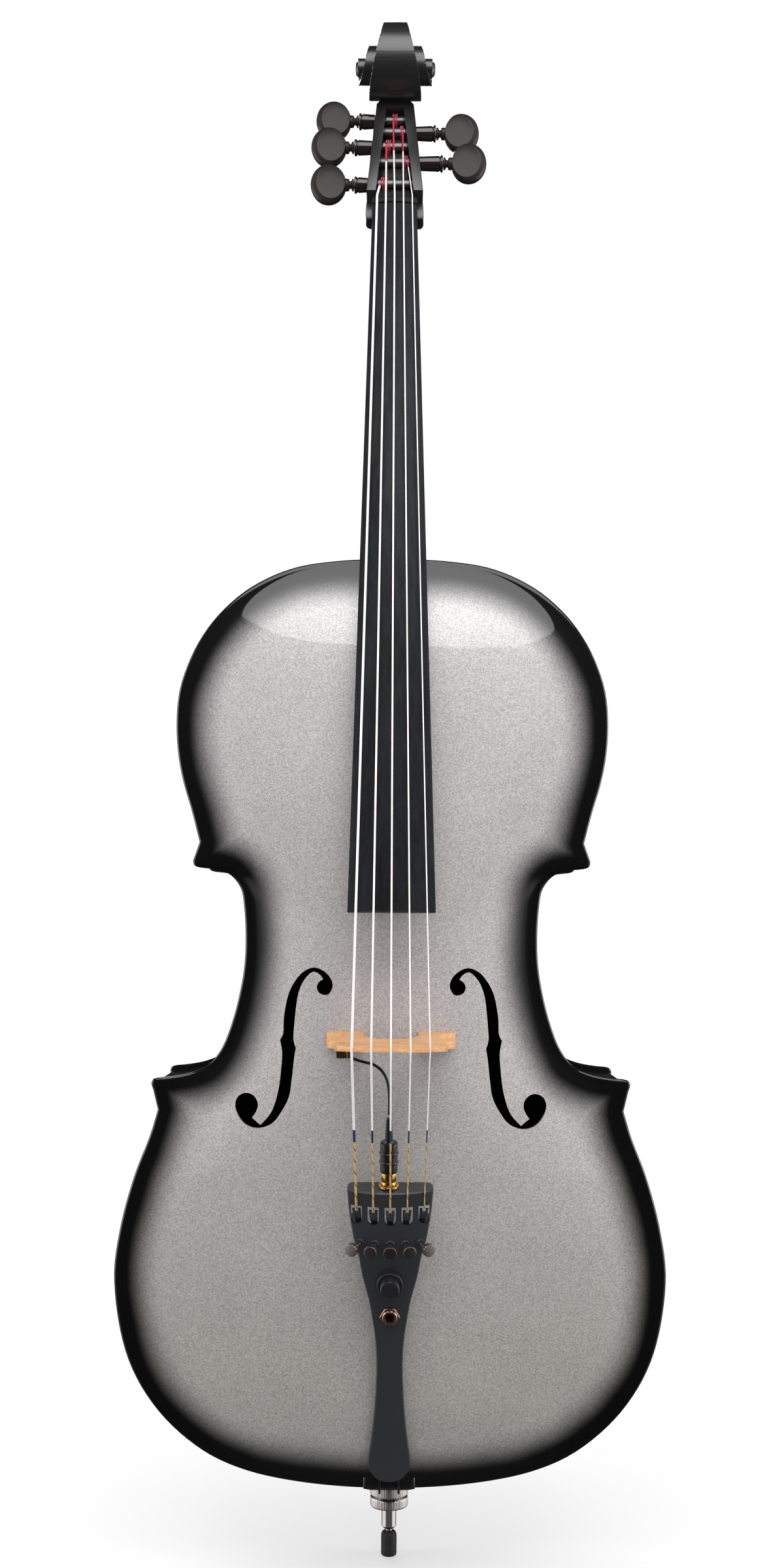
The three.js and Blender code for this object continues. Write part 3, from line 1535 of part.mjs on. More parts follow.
function pickupPlug() {
  const bottom = 2 * seatGap + socketFlangeHeight;
  const gripFrom = bottom + ferruleLength;
  const gripTo = gripFrom + gripLength;
  const bootTo = gripTo + bootLength;
  const waistAt = bottom + ferruleLength / 4;
  const ridge = gripRadius + gripRidge;
  const profile = [
    [0, bottom], [ferruleRadius, bottom], [ferruleRadius - gripRidge, waistAt],
    [ferruleRadius, gripFrom - gripRidge], [gripRadius - gripRidge, gripFrom],
    [gripRadius, gripFrom + gripRidge],
  ];
  gripRidgeShares.forEach((share) => {
    const z = mix(gripFrom, gripTo, share);
    profile.push([gripRadius, z], [ridge, z + gripRidge]);
    profile.push([ridge, z + 2 * gripRidge], [gripRadius, z + 3 * gripRidge]);
  });
  profile.push([gripRadius, gripTo - gripRidge], [bootRadius, gripTo], [bootEndRadius, bootTo], [0, bootTo]);
  return turned(profile, smallSides);
}

function pickupElement() {
  const top = -halfDepth - archHeight(topArch, bridgeZ, 1);
  const z = bridgeBackZ - seatGap - pickupThickness / 2;
  return box(pickupWidth, pickupHeight, pickupThickness, -pickupAcross, top - pickupHeightOnBridge, z);
}

function pickupCable() {
  const route = new THREE.CatmullRomCurve3(leadPoints.map(([x, y, z]) => at(x, y, z)), false, 'centripetal');
  const steps = Math.ceil(route.getLength() / (4 * leadRadius));
  return tube(route.getSpacedPoints(steps), leadRadius, leadSides);
}

// Tail cord: from one hole of the tailpiece over the saddle, round the plug and back
function tailCord() {
  const half = tailEyeSpacing / 2;
  const clear = tailCordRadius + seatGap;
  const hole = pointOutOf(tailGroup, at(0, tailEyeY(), tailEyeDepth / 2 - tailLength));
  const mouth = pointOutOf(tailGroup, at(0, tailEyeY(), -tailLength - overrun));
  const ridgeY = -halfDepth - saddleRise - clear;
  const grooveZ = bodyBase - cordGrooveDrop;
  const loop = shoulderRadius + clear / Math.cos(Math.PI / turnSides);
  const side = (way) => [
    at(way * half, hole.y, hole.z), at(way * half, mouth.y, mouth.z),
    at(way * half, ridgeY, bodyBase + saddleLength / 2), at(way * half, ridgeY, bodyBase + saddleRise / 3),
    at(way * half, ridgeY + saddleRise / 2, bodyBase - saddleLip - clear),
    at(way * half, -halfDepth + overrun, bodyBase - saddleLip - 2 * clear), at(way * loop, 0, grooveZ),
  ];
  const bend = [];
  const steps = 8;
  for (let i = 1; i < steps; i += 1) {
    const angle = (i / steps) * Math.PI;
    bend.push(at(loop * Math.cos(angle), loop * Math.sin(angle), grooveZ));
  }
  return tube([...side(1), ...bend, ...side(-1).reverse()], tailCordRadius, stringSides);
}

// Endpin, drawn along +Z from the floor
const nutFrom = tipLength + rodShowing;
const nutTo = nutFrom + clampNutHeight;
const collarFrom = nutTo + plugWaistHeight;
const collarTo = collarFrom + collarHeight;

function endpinPlug() {
  const bore = clearOf(rodRadius);
  const top = bodyBase + innerWall + endBlockLength;
  const ribOuter = bodyBase + edgeOverhang;
  const noseFrom = nutFrom + clampNoseInset;
  const body = turned([
    [bore, noseFrom], [clampNoseRadius, noseFrom], [clampNoseRadius, nutTo + seatGap],
    [plugWaistRadius, nutTo + seatGap], [plugWaistRadius, collarTo], [shoulderRadius, collarTo],
    [shoulderRadius, bodyBase - plugFlangeHeight], [plugFlangeRadius, bodyBase - seatGap],
    [plugFlangeRadius, ribOuter - seatGap], [plugConeRadius, ribOuter - seatGap],
    [plugConeRadius - plugConeTaper, top], [bore, top], [bore, noseFrom],
  ]);
  const collar = cut(
    knurled(clampNutRadius, collarFrom, collarTo, knurlTeeth),
    rod(plugWaistRadius - seatGap, collarFrom - overrun, collarTo + overrun),
  );
  return joined(body, collar);
}

function clampNut() {
  const ring = knurled(clampNutRadius, nutFrom, nutTo, knurlTeeth);
  return cut(ring, rod(clearOf(clampNoseRadius), nutFrom - overrun, nutTo + overrun));
}

function endpinRod() {
  const studFrom = tipLength - tipSocketDepth + seatGap;
  const rodFrom = tipLength + rodChamfer;
  return turned([
    [0, studFrom], [studRadius, studFrom], [studRadius, rodFrom], [rodRadius - rodChamfer, rodFrom],
    [rodRadius, rodFrom + rodChamfer], [rodRadius, rodFrom + rodLength - rodChamfer],
    [rodRadius - rodChamfer, rodFrom + rodLength], [0, rodFrom + rodLength],
  ]);
}

function endpinTip() {
  const bore = clearOf(studRadius);
  const socketFrom = tipLength - tipSocketDepth;
  return turned([
    [0, 0], [tipRadius - rodChamfer, 0], [tipRadius, rodChamfer], [tipRadius, tipLength - rodChamfer],
    [tipRadius - rodChamfer, tipLength], [bore, tipLength], [bore, socketFrom], [0, socketFrom],
  ]);
}

// The whole cello
function addBody() {
  piece('top_plate', topPlate(), flakeLacquer());
  piece('rib_garland', ribGarland(), blackLacquer());
  piece('back_plate', backPlate(), blackLacquer());
  piece('neck_block', neckBlock(), spruce());
  piece('end_block', endBlock(), spruce());
  piece('sound_post', soundPost(), spruce());
}

function addNeck() {
  piece('neck', neck(), satinBlack());
  piece('fingerboard', fingerboard(), boardBlack(), boardGroup);
  piece('nut', nut(), boardBlack(), boardGroup);
  piece('saddle', saddle(), boardBlack());
  piece('bridge', bridge(), maple());
}

function addTail() {
  piece('tailpiece', tailpiece(), tailComposite(), tailGroup);
  stringRadii.forEach((_, i) => addTuner(i));
  piece('tail_cord', tailCord(), cordBlack());
  addFront('control_pot', knobStation, controlPot(), brushedNickel());
  addFront('volume_knob', knobStation, lowerKnob(), knobBlack());
  addFront('tone_knob', knobStation, upperKnob(), knobBlack());
  addFront('output_jack', jackStation, outputJack(), copperPlate());
  const socket = piece('pickup_socket', pickupSocket(), gilt(), tailGroup);
  socket.position.set(socketAcross, socketDepth, 0);
  const plug = piece('pickup_plug', pickupPlug(), rubberBlack(), tailGroup);
  plug.position.set(socketAcross, socketDepth, 0);
  piece('pickup_element', pickupElement(), gilt());
  piece('pickup_cable', pickupCable(), rubberBlack());
}

function addEndpin() {
  piece('endpin_plug', endpinPlug(), knobBlack());
  piece('endpin_clamp_nut', clampNut(), chromedSteel());
  piece('endpin_rod', endpinRod(), chromedSteel());
  piece('endpin_tip', endpinTip(), rubberBlack());
}

cello.add(boardGroup, tailGroup);
addBody();
addNeck();
stringRadii.forEach((_, i) => piece(`string_${i + 1}`, stringTube(i), stringSteel()));
pegTable.forEach((row, i) => addPeg(row, i + 1));
addTail();
addEndpin();

export default cello;
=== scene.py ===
# %% [markdown]
# # A five-string electric cello
# This notebook dresses a full-size electric cello: a hollow carved body in silver flake with a
# black burst, a black neck and scroll, geared pegs, a maple bridge with a pickup, a moulded
# tailpiece with fine tuners and controls, and an endpin. The engineering model comes in first as a
# fixed frame. Each visible piece is then made fine and stands for its plain twin in that frame.

# %% Load the frame
import math

import bpy
import numpy as np
from mathutils import Matrix, Vector


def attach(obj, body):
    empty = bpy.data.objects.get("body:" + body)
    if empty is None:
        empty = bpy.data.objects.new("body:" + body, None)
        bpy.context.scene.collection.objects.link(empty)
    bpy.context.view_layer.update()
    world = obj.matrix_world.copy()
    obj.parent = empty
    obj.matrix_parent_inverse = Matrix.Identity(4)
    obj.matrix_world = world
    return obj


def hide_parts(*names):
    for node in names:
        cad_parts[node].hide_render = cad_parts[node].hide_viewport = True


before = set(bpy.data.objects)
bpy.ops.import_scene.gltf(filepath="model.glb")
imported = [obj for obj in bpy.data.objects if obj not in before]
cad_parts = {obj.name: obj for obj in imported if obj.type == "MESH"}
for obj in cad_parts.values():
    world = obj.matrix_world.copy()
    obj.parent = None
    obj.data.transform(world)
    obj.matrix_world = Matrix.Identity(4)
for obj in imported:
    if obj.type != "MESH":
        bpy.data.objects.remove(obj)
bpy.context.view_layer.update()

# %% [markdown]
# The photograph was taken straight from the front at a fairly short distance, level with the lower
# body, so the scroll and the foot are seen at a slant. A camera with the same distance and a
# little upward shift gives that perspective without tilting. The instrument leaned a quarter of a
# degree to the right, which a small roll of the camera repeats.

# %% Camera
MM = 0.001
camera_data = bpy.data.cameras.new("camera")
camera = bpy.data.objects.new("camera", camera_data)
bpy.context.scene.collection.objects.link(camera)
camera_data.sensor_fit = "VERTICAL"
camera_data.sensor_height = 36.0
camera_data.lens = 38.02
camera_data.shift_y = 0.0875
camera.location = (0.0004, -1.405, 0.5377)
camera.rotation_euler = (math.radians(90), math.radians(-0.25), 0)
bpy.context.scene.camera = camera
print("camera", tuple(round(v, 4) for v in camera.location), "lens", round(camera_data.lens, 2))

# %% [markdown]
# A few helpers come back in every step. Operators act on whatever is selected, so each one starts
# by deselecting everything. All sizes are written in millimetres and scaled once.


# %% Helpers for objects
def make_active(obj):
    bpy.ops.object.select_all(action="DESELECT")
    obj.select_set(True)
    bpy.context.view_layer.objects.active = obj


def new_object(name, points, faces, edges=()):
    mesh = bpy.data.meshes.new(name)
    mesh.from_pydata([tuple(v * MM for v in p) for p in points], list(edges), list(faces))
    mesh.update()
    obj = bpy.data.objects.new(name, mesh)
    bpy.context.scene.collection.objects.link(obj)
    return obj


def clean(obj, merge=0.000002):
    make_active(obj)
    bpy.ops.object.mode_set(mode="EDIT")
    bpy.ops.mesh.select_all(action="SELECT")
    bpy.ops.mesh.remove_doubles(threshold=merge)
    bpy.ops.mesh.normals_make_consistent(inside=False)
    bpy.ops.object.mode_set(mode="OBJECT")
    return obj


def applied(obj, kind, **settings):
    make_active(obj)
    modifier = obj.modifiers.new(kind.lower(), kind)
    for key, value in settings.items():
        setattr(modifier, key, value)
    bpy.ops.object.modifier_apply(modifier=modifier.name)
    return obj


def soften(obj, width, angle=30, segments=2):
    return applied(
        obj, "BEVEL", width=width * MM, segments=segments, limit_method="ANGLE",
        angle_limit=math.radians(angle), use_clamp_overlap=True,
    )


def combine(obj, tools, operation):
    for tool in tools:
        applied(obj, "BOOLEAN", object=tool, operation=operation, solver="EXACT")
        bpy.data.objects.remove(tool)
    return obj


def merged(parts):
    make_active(parts[0])
    for part in parts:
        part.select_set(True)
    bpy.ops.object.join()
    return parts[0]


def placed(obj, matrix=None):
    if matrix:
        obj.data.transform(matrix)
        obj.data.update()
    return obj


def mark(obj, name, values):
    layer = obj.data.attributes.new(name, "FLOAT", "POINT")
    layer.data.foreach_set("value", np.array(values, dtype=np.float32))


def finish(obj, material, body, stands_for=(), angle=35):
    make_active(obj)
    bpy.ops.object.shade_smooth_by_angle(angle=math.radians(angle))
    obj.data.materials.clear()
    obj.data.materials.append(material)
    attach(obj, body)
    if stands_for:
        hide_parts(*stands_for)
    size = [round(v / MM, 1) for v in obj.dimensions]
    print(f"{obj.name}: {len(obj.data.polygons)} faces, {size} mm")
    return obj


# %% [markdown]
# Three ways of making a mesh cover nearly the whole instrument. A turned piece is a profile spun
# round an axis, as on a lathe. A lofted piece is a skin over rings, as a carver works to
# templates. A tube follows a path, and keeps a map round and along it for threads and windings.


# %% Turned, lofted and square shapes
def turned(name, profile, steps=64, matrix=None):
    points = [(radius, 0, height) for radius, height in profile]
    obj = new_object(name, points, [], [(i, i + 1) for i in range(len(points) - 1)])
    make_active(obj)
    bpy.ops.object.mode_set(mode="EDIT")
    bpy.ops.mesh.select_all(action="SELECT")
    bpy.ops.mesh.spin(steps=steps, angle=2 * math.pi, center=(0, 0, 0), axis=(0, 0, 1))
    bpy.ops.object.mode_set(mode="OBJECT")
    return placed(clean(obj), matrix)


def rod(radius, low, high, matrix=None, steps=48):
    return turned("rod", [(0, low), (radius, low), (radius, high), (0, high)], steps, matrix)


def lofted(name, rings, capped=True):
    count = len(rings[0])
    points = [p for ring in rings for p in ring]
    faces = []
    for r in range(len(rings) - 1):
        for i in range(count):
            a, b = r * count + i, r * count + (i + 1) % count
            faces.append((a, b, b + count, a + count))
    if capped:
        faces.append(tuple(range(count))[::-1])
        faces.append(tuple(range((len(rings) - 1) * count, len(rings) * count)))
    return clean(new_object(name, points, faces))


def prism(name, outline, low, high):
    rings = [[(x, y, z) for x, z in outline] for y in (low, high)]
    return lofted(name, rings)


def block(name, low, high, edge=0.0, matrix=None):
    bpy.ops.object.select_all(action="DESELECT")
    middle = [(a + b) / 2 * MM for a, b in zip(low, high)]
    bpy.ops.mesh.primitive_cube_add(size=1, location=middle)
    obj = bpy.context.object
    obj.name = name
    bpy.ops.object.mode_set(mode="EDIT")
    bpy.ops.mesh.select_all(action="SELECT")
    bpy.ops.transform.resize(value=[(b - a) * MM for a, b in zip(low, high)])
    bpy.ops.object.mode_set(mode="OBJECT")
    bpy.ops.object.transform_apply(location=True, rotation=True, scale=True)
    if edge:
        soften(obj, edge)
    return placed(obj, matrix)


print("shapes", [make.__name__ for make in (turned, rod, lofted, prism, block)])

# %% [markdown]
# Outlines and paths are smooth curves through a few chosen points. The curve is measured along its
# length and cut into equal steps, so that the faces made from it stay even.


# %% Curves and tubes
def mirrored(points):
    return [(-x, *others) for x, *others in points[::-1]]


def read_off(table, place, column=1):
    return float(np.interp(place, table[:, 0], table[:, column]))


def spline(points, count):
    given = [Vector(p) for p in points]
    ends = [given[0] * 2 - given[1], *given, given[-1] * 2 - given[-2]]
    dense = []
    for a, b, c, d in zip(ends, ends[1:], ends[2:], ends[3:]):
        ta, tb, tc = [max((q - p).length, 1e-6) ** 0.5 for p, q in ((a, b), (b, c), (c, d))]
        m1 = ((b - a) / ta - (c - a) / (ta + tb) + (c - b) / tb) * tb
        m2 = ((c - b) / tb - (d - b) / (tb + tc) + (d - c) / tc) * tb
        for k in range(24):
            t = k / 24
            dense.append(
                b * (2 * t**3 - 3 * t**2 + 1) + m1 * (t**3 - 2 * t**2 + t)
                + c * (3 * t**2 - 2 * t**3) + m2 * (t**3 - t**2)
            )
    dense.append(given[-1])
    table = np.array([tuple(p) for p in dense])
    reach = np.concatenate([[0], np.cumsum(np.linalg.norm(np.diff(table, axis=0), axis=1))])
    places = np.linspace(0, reach[-1], count + 1)
    return np.stack([np.interp(places, reach, table[:, k]) for k in range(table.shape[1])], axis=1)


def tube(name, path, radius, sides=16):
    path = [Vector(p) for p in path]
    count = len(path)
    ways = [(path[min(i + 1, count - 1)] - path[max(i - 1, 0)]).normalized() for i in range(count)]
    side = ways[0].orthogonal().normalized()
    points, along = [], [0.0]
    for i, (p, way) in enumerate(zip(path, ways)):
        side = (side - way * side.dot(way)).normalized()
        up = way.cross(side)
        for k in range(sides):
            angle = 2 * math.pi * k / sides
            points.append(p + (side * math.cos(angle) + up * math.sin(angle)) * radius)
        if i:
            along.append(along[-1] + (p - path[i - 1]).length)
    faces, marks = [], []
    for i in range(count - 1):
        for k in range(sides):
            a, b = i * sides + k, i * sides + (k + 1) % sides
            faces.append((a, b, b + sides, a + sides))
            u0, u1, v0, v1 = k / sides, (k + 1) / sides, along[i] * MM, along[i + 1] * MM
            marks += [(u0, v0), (u1, v0), (u1, v1), (u0, v1)]
    last = (count - 1) * sides
    faces += [tuple(range(sides))[::-1], tuple(range(last, last + sides))]
    marks += [(0, 0)] * sides + [(0, along[-1] * MM)] * sides
    obj = new_object(name, points, faces)
    wrap = obj.data.uv_layers.new(name="wrap")
    wrap.data.foreach_set("uv", np.array(marks, dtype=np.float32).ravel())
    return obj


print("curves", [make.__name__ for make in (spline, tube)])

# %% [markdown]
# A finish is a net of shader nodes. Short helpers add a node, join its sockets and hand back its
# result, so a material reads as a few lines of plain sums.


# %% Nodes and sockets
def new_group(name, inputs, outputs):
    group = bpy.data.node_groups.new(name, "ShaderNodeTree")
    for label, kind, value in inputs:
        socket = group.interface.new_socket(name=label, in_out="INPUT", socket_type=kind)
        if value is not None:
            socket.default_value = value
    for label, kind in outputs:
        group.interface.new_socket(name=label, in_out="OUTPUT", socket_type=kind)
    return group, group.nodes.new("NodeGroupInput"), group.nodes.new("NodeGroupOutput")


def plug(tree, made, socket, value):
    target = made.inputs[int(socket)] if socket.isdigit() else made.inputs[socket]
    if isinstance(value, bpy.types.NodeSocket):
        tree.links.new(value, target)
    else:
        target.default_value = value


def feed(tree, made, **inputs):
    for key, value in inputs.items():
        plug(tree, made, key.replace("_", " "), value)


def node(tree, kind, settings=None, **inputs):
    made = tree.nodes.new(kind)
    for key, value in (settings or {}).items():
        setattr(made, key, value)
    feed(tree, made, **inputs)
    return made


print("node helpers", [helper.__name__ for helper in (new_group, plug, feed, node)])


# %% Sums, ranges and patterns
def math_node(tree, operation, *values):
    made = node(tree, "ShaderNodeMath", {"operation": operation})
    for number, value in enumerate(values):
        plug(tree, made, str(number), value)
    return made.outputs[0]


def weighed(tree, a, share, b):
    low = math_node(tree, "MULTIPLY", b, 1 - share)
    return math_node(tree, "ADD", math_node(tree, "MULTIPLY", a, share), low)


def brightened(tree, colour, factor):
    made = node(tree, "ShaderNodeVectorMath", {"operation": "SCALE"}, Scale=factor)
    plug(tree, made, "0", colour)
    return made.outputs[0]


def ranged(tree, value, low, high, to_low, to_high, smooth=False):
    kind = "SMOOTHSTEP" if smooth else "LINEAR"
    return node(
        tree, "ShaderNodeMapRange", {"interpolation_type": kind, "clamp": True},
        Value=value, From_Min=low, From_Max=high, To_Min=to_low, To_Max=to_high,
    ).outputs[0]


def mixed(tree, factor, a, b):
    made = node(tree, "ShaderNodeMix", {"data_type": "RGBA"})
    for socket, value in (("0", factor), ("6", a), ("7", b)):
        plug(tree, made, socket, value)
    return made.outputs[2]


def part_of(tree, vector, axis):
    return node(tree, "ShaderNodeSeparateXYZ", Vector=vector).outputs[axis]


def noise(tree, vector, scale, detail=2.0, rough=0.5):
    made = node(tree, "ShaderNodeTexNoise", Vector=vector, Scale=scale, Detail=detail, Roughness=rough)
    return made.outputs[0]


def bump(tree, height, distance, strength=1.0):
    return node(tree, "ShaderNodeBump", Height=height, Distance=distance, Strength=strength).outputs[0]


def stretched(tree, vector, scale):
    return node(tree, "ShaderNodeMapping", Vector=vector, Scale=scale).outputs[0]


def start(name, **constants):
    material = bpy.data.materials.new(name)
    material.use_nodes = True
    tree = material.node_tree
    shader = tree.nodes["Principled BSDF"]
    feed(tree, shader, **constants)
    where = tree.nodes.new("ShaderNodeTexCoord").outputs["Object"]
    return material, tree, shader, where


print("patterns", [helper.__name__ for helper in (ranged, mixed, noise, bump, stretched)])

# %% [markdown]
# Finishes share two effects. One makes a surface slightly uneven in colour, gloss and relief, as
# sprayed lacquer and moulded plastic are. One draws threads or windings from the map along a
# string. Each is a node group, built once and used with its own values in every material.


# %% Shared effects
def uneven_group():
    group, given, out = new_group(
        "uneven_surface",
        [("Vector", "NodeSocketVector", None), ("Roughness", "NodeSocketFloat", 0.4),
         ("Spread", "NodeSocketFloat", 0.1), ("Scale", "NodeSocketFloat", 600.0),
         ("Colour", "NodeSocketColor", (0.1, 0.1, 0.1, 1)), ("Shade", "NodeSocketFloat", 0.1)],
        [("Colour", "NodeSocketColor"), ("Roughness", "NodeSocketFloat"), ("Height", "NodeSocketFloat")],
    )
    asked = given.outputs
    fine = noise(group, asked["Vector"], asked["Scale"], 4.0, 0.6)
    both = weighed(group, fine, 0.6, noise(group, asked["Vector"], 14.0, 3.0))
    centred = math_node(group, "MULTIPLY", math_node(group, "SUBTRACT", both, 0.5), 2.0)
    rough = math_node(group, "MULTIPLY_ADD", centred, asked["Spread"], asked["Roughness"])
    shade = math_node(group, "MULTIPLY_ADD", centred, asked["Shade"], 1.0)
    feed(group, out, Colour=brightened(group, asked["Colour"], shade), Roughness=rough, Height=fine)
    return group


def thread_group():
    group, given, out = new_group(
        "wound_thread",
        [("Vector", "NodeSocketVector", None), ("Turns", "NodeSocketFloat", 1.0),
         ("Per Metre", "NodeSocketFloat", 1000.0)],
        [("Thread", "NodeSocketFloat"), ("Ridge", "NodeSocketFloat")],
    )
    asked = given.outputs
    turn = math_node(group, "MULTIPLY", part_of(group, asked["Vector"], 0), asked["Turns"])
    run = math_node(group, "MULTIPLY", part_of(group, asked["Vector"], 1), asked["Per Metre"])
    saw = math_node(group, "FRACT", math_node(group, "ADD", turn, run))
    feed(group, out, Thread=saw, Ridge=math_node(group, "SINE", math_node(group, "MULTIPLY", saw, math.pi)))
    return group


uneven = uneven_group()
wound = thread_group()


def surface(name, colour, roughness, spread=0.08, scale=600.0, shade=0.12, relief=0.00001, **constants):
    material, tree, shader, where = start(name, **constants)
    effect = node(
        tree, "ShaderNodeGroup", {"node_tree": uneven}, Vector=where, Roughness=roughness,
        Spread=spread, Scale=scale, Shade=shade, Colour=(*colour, 1),
    )
    tone, rough, height = effect.outputs
    feed(tree, shader, Base_Color=tone, Roughness=rough, Normal=bump(tree, height, relief))
    return material, tree, shader, where, tone


def coloured(name, *values, **constants):
    return surface(name, *values, **constants)[0]


print("effects", uneven.name, wound.name)

# %% [markdown]
# The body's front is the main finish: aluminium flake under clear lacquer, shaded to black at the
# edge. A point's distance from the rim is stored on the mesh as an attribute, so the burst follows
# the outline exactly. Fine cells give each flake its own brightness and tilt, and a smooth coat
# lies over it all. The silver is painted darker and warmer low on the body and lighter towards the
# top, as painted shade and painted light from the high lamp.


# %% Flake finish with a burst
def flake_finish():
    material, tree, shader, where = start(
        "silver_flake", Specular_IOR_Level=0.08, Coat_Weight=1.0, Coat_Roughness=0.04, Coat_IOR=1.5,
    )
    rim = node(tree, "ShaderNodeAttribute", {"attribute_name": "rim_distance"}).outputs["Fac"]
    drift = math_node(tree, "SUBTRACT", noise(tree, where, 9.0, 3.0), 0.5)
    shifted = math_node(tree, "ADD", rim, math_node(tree, "MULTIPLY", drift, 0.010))
    burst = ranged(tree, shifted, 0.011, 0.043, 0.0, 1.0, smooth=True)
    cells = node(tree, "ShaderNodeTexVoronoi", Vector=where, Scale=1500.0)
    tone, gloss, tilt = node(tree, "ShaderNodeSeparateColor", Color=cells.outputs["Color"]).outputs
    flake = ranged(tree, tone, 0.0, 1.0, 0.7, 1.25)
    cloud = ranged(tree, noise(tree, where, 14.0, 1.0), 0.3, 0.7, 0.97, 1.03)
    # Painted shade: the silver is darker and warmer low on the body and lighter towards the top, where the
    # high lamp falls.
    painted_top_light = ranged(tree, part_of(tree, where, 2), 0.16, 0.50, 0.0, 1.0, smooth=True)
    silver = mixed(tree, painted_top_light, (0.48, 0.465, 0.435, 1), (0.54, 0.515, 0.52, 1))
    lively = brightened(tree, silver, math_node(tree, "MULTIPLY", flake, cloud))
    feed(
        tree, shader, Base_Color=mixed(tree, burst, (0.002, 0.002, 0.002, 1), lively),
        Metallic=math_node(tree, "MULTIPLY", burst, 0.35),
        Roughness=ranged(tree, gloss, 0.0, 1.0, 0.38, 0.58), Normal=bump(tree, tilt, 0.00004, 0.35),
    )
    return material


silver_flake = flake_finish()
piano_black = coloured(
    "piano_black", (0.006, 0.006, 0.007), 0.12, 0.04, 300.0, 0.1, 0.000004,
    Coat_Weight=1.0, Coat_Roughness=0.03,
)
print("finish", silver_flake.name, piano_black.name)

# %% [markdown]
# ## The body
# The outline is drawn once, through points chosen as shares of the bouts' widths and heights, with
# a smooth curve between them. The plates, the ribs and the burst all follow it.

# %% Body sizes
BODY_BASE, BODY_LENGTH = 76.6, 755.6
BODY_TOP = BODY_BASE + BODY_LENGTH
LOWER_WIDTH, WAIST_WIDTH, UPPER_WIDTH = 448.8, 237.2, 351.2
LOWER_CORNER = (389.4, 328.5)
UPPER_CORNER = (323.2, 508.9)
LOWER_NOTCH, UPPER_NOTCH = (5.3, 21.3), (5.3, 15.9)
CORNER_TIP = 5.0
HALF_DEPTH, RIB_HALF = 60.0, 55.2
PLATE = 4.5
TOP_ARCH, BACK_ARCH = 25.0, 24.0
lower_bout_shares = [
    (0, 0), (0.322, 0.0146), (0.5365, 0.0469), (0.6845, 0.0953), (0.842, 0.1924),
    (0.9505, 0.3215), (1, 0.5154), (0.978, 0.6444), (0.927, 0.7738), (0.8725, 0.8706),
]
upper_bout_shares = [
    (0.9294, 0.1719), (0.9653, 0.2578), (0.9897, 0.3441), (1, 0.452), (0.988, 0.559), (0.9516, 0.6449),
    (0.8929, 0.7313), (0.8035, 0.8172), (0.6634, 0.9031), (0.4698, 0.9676), (0.2563, 0.9935), (0, 1),
]
lower_waist_shares = [
    (0.7806, 0.0327), (0.5834, 0.0493), (0.4126, 0.0804), (0.3167, 0.1175), (0.23, 0.1763),
    (0.1288, 0.2938), (0.0591, 0.4113), (0.0131, 0.5294), (0, 0.6469),
]
upper_waist_shares = [(0.0302, 0.7938), (0.0977, 0.8819), (0.2953, 0.9407), (0.521, 0.9618)]
corner_tip_shares = [(-0.3, -1.07), (0, 0), (-0.3, 0.68), (-1.1, 0.97)]
print("body", BODY_LENGTH, "long", LOWER_WIDTH, WAIST_WIDTH, UPPER_WIDTH, "wide, mm")


# %% Outline
def half_outline():
    lower = Vector((LOWER_CORNER[0] / 2, LOWER_CORNER[1]))
    upper = Vector((UPPER_CORNER[0] / 2, UPPER_CORNER[1]))
    tip = [(out * CORNER_TIP, up * CORNER_TIP) for out, up in corner_tip_shares]
    low_tip = [(lower.x + out, lower.y + up) for out, up in tip]
    high_tip = [(upper.x + out, upper.y - up) for out, up in tip][::-1]
    waist, rise = WAIST_WIDTH / 2, upper.y - lower.y
    bottom = [(out * LOWER_WIDTH / 2, up * lower.y) for out, up in lower_bout_shares]
    top = [(out * UPPER_WIDTH / 2, upper.y + up * (BODY_LENGTH - upper.y)) for out, up in upper_bout_shares]
    low_waist = [(waist + (lower.x - waist) * out, lower.y + up * rise) for out, up in lower_waist_shares]
    high_waist = [(waist + (upper.x - waist) * out, lower.y + up * rise) for out, up in upper_waist_shares]
    low_notch = (lower.x - LOWER_NOTCH[0], lower.y - LOWER_NOTCH[1])
    high_notch = (upper.x - UPPER_NOTCH[0], upper.y + UPPER_NOTCH[1])
    whole_bottom = spline(mirrored(bottom[1:]) + bottom + [low_notch], 112)[56:]
    whole_top = spline([high_notch] + top + mirrored(top[:-1]), 96)[:49]
    parts = [
        whole_bottom, spline([low_notch, low_tip[0]], 6)[1:], spline(low_tip, 10)[1:],
        spline([low_tip[3], *low_waist, *high_waist, high_tip[0]], 60)[1:],
        spline(high_tip, 10)[1:], spline([high_tip[3], high_notch], 5)[1:], whole_top[1:],
    ]
    stops = np.cumsum([len(p) for p in parts]) - 1
    return np.concatenate(parts), stops


def whole(half):
    half = half.copy()
    half[:, 1] += BODY_BASE
    half[0, 0] = half[-1, 0] = 0
    return np.concatenate([half, half[1:-1][::-1] * np.array([-1, 1])])


half_line, stops = half_outline()
worn_line = half_line.copy()
for first, last in ((stops[0] - 8, stops[2] + 13), (stops[3] - 12, stops[5] + 8)):
    run = np.linspace(0, 1, last - first + 1)[:, None]
    worn_line[first : last + 1] = half_line[first] * (1 - run) + half_line[last] * run
outline, worn = whole(half_line), whole(worn_line)
ahead = np.roll(outline, -1, axis=0) - np.roll(outline, 1, axis=0)
inward = np.stack([-ahead[:, 1], ahead[:, 0]], axis=1) / np.linalg.norm(ahead, axis=1)[:, None]
middle_z = BODY_BASE + BODY_LENGTH / 2
print("outline points", len(outline), "length", round(float(np.ptp(outline[:, 1])), 1), "mm")


def rim_distance(points):
    """Distance in millimetres from each (x, z) point to the outline."""
    a, b = outline, np.roll(outline, -1, axis=0)
    way = b - a
    least = np.full(len(points), 1e9)
    for p, w in zip(a, way):
        share = np.clip(((points - p) @ w) / max(w @ w, 1e-9), 0, 1)
        least = np.minimum(least, np.linalg.norm(points - p - share[:, None] * w, axis=1))
    return least


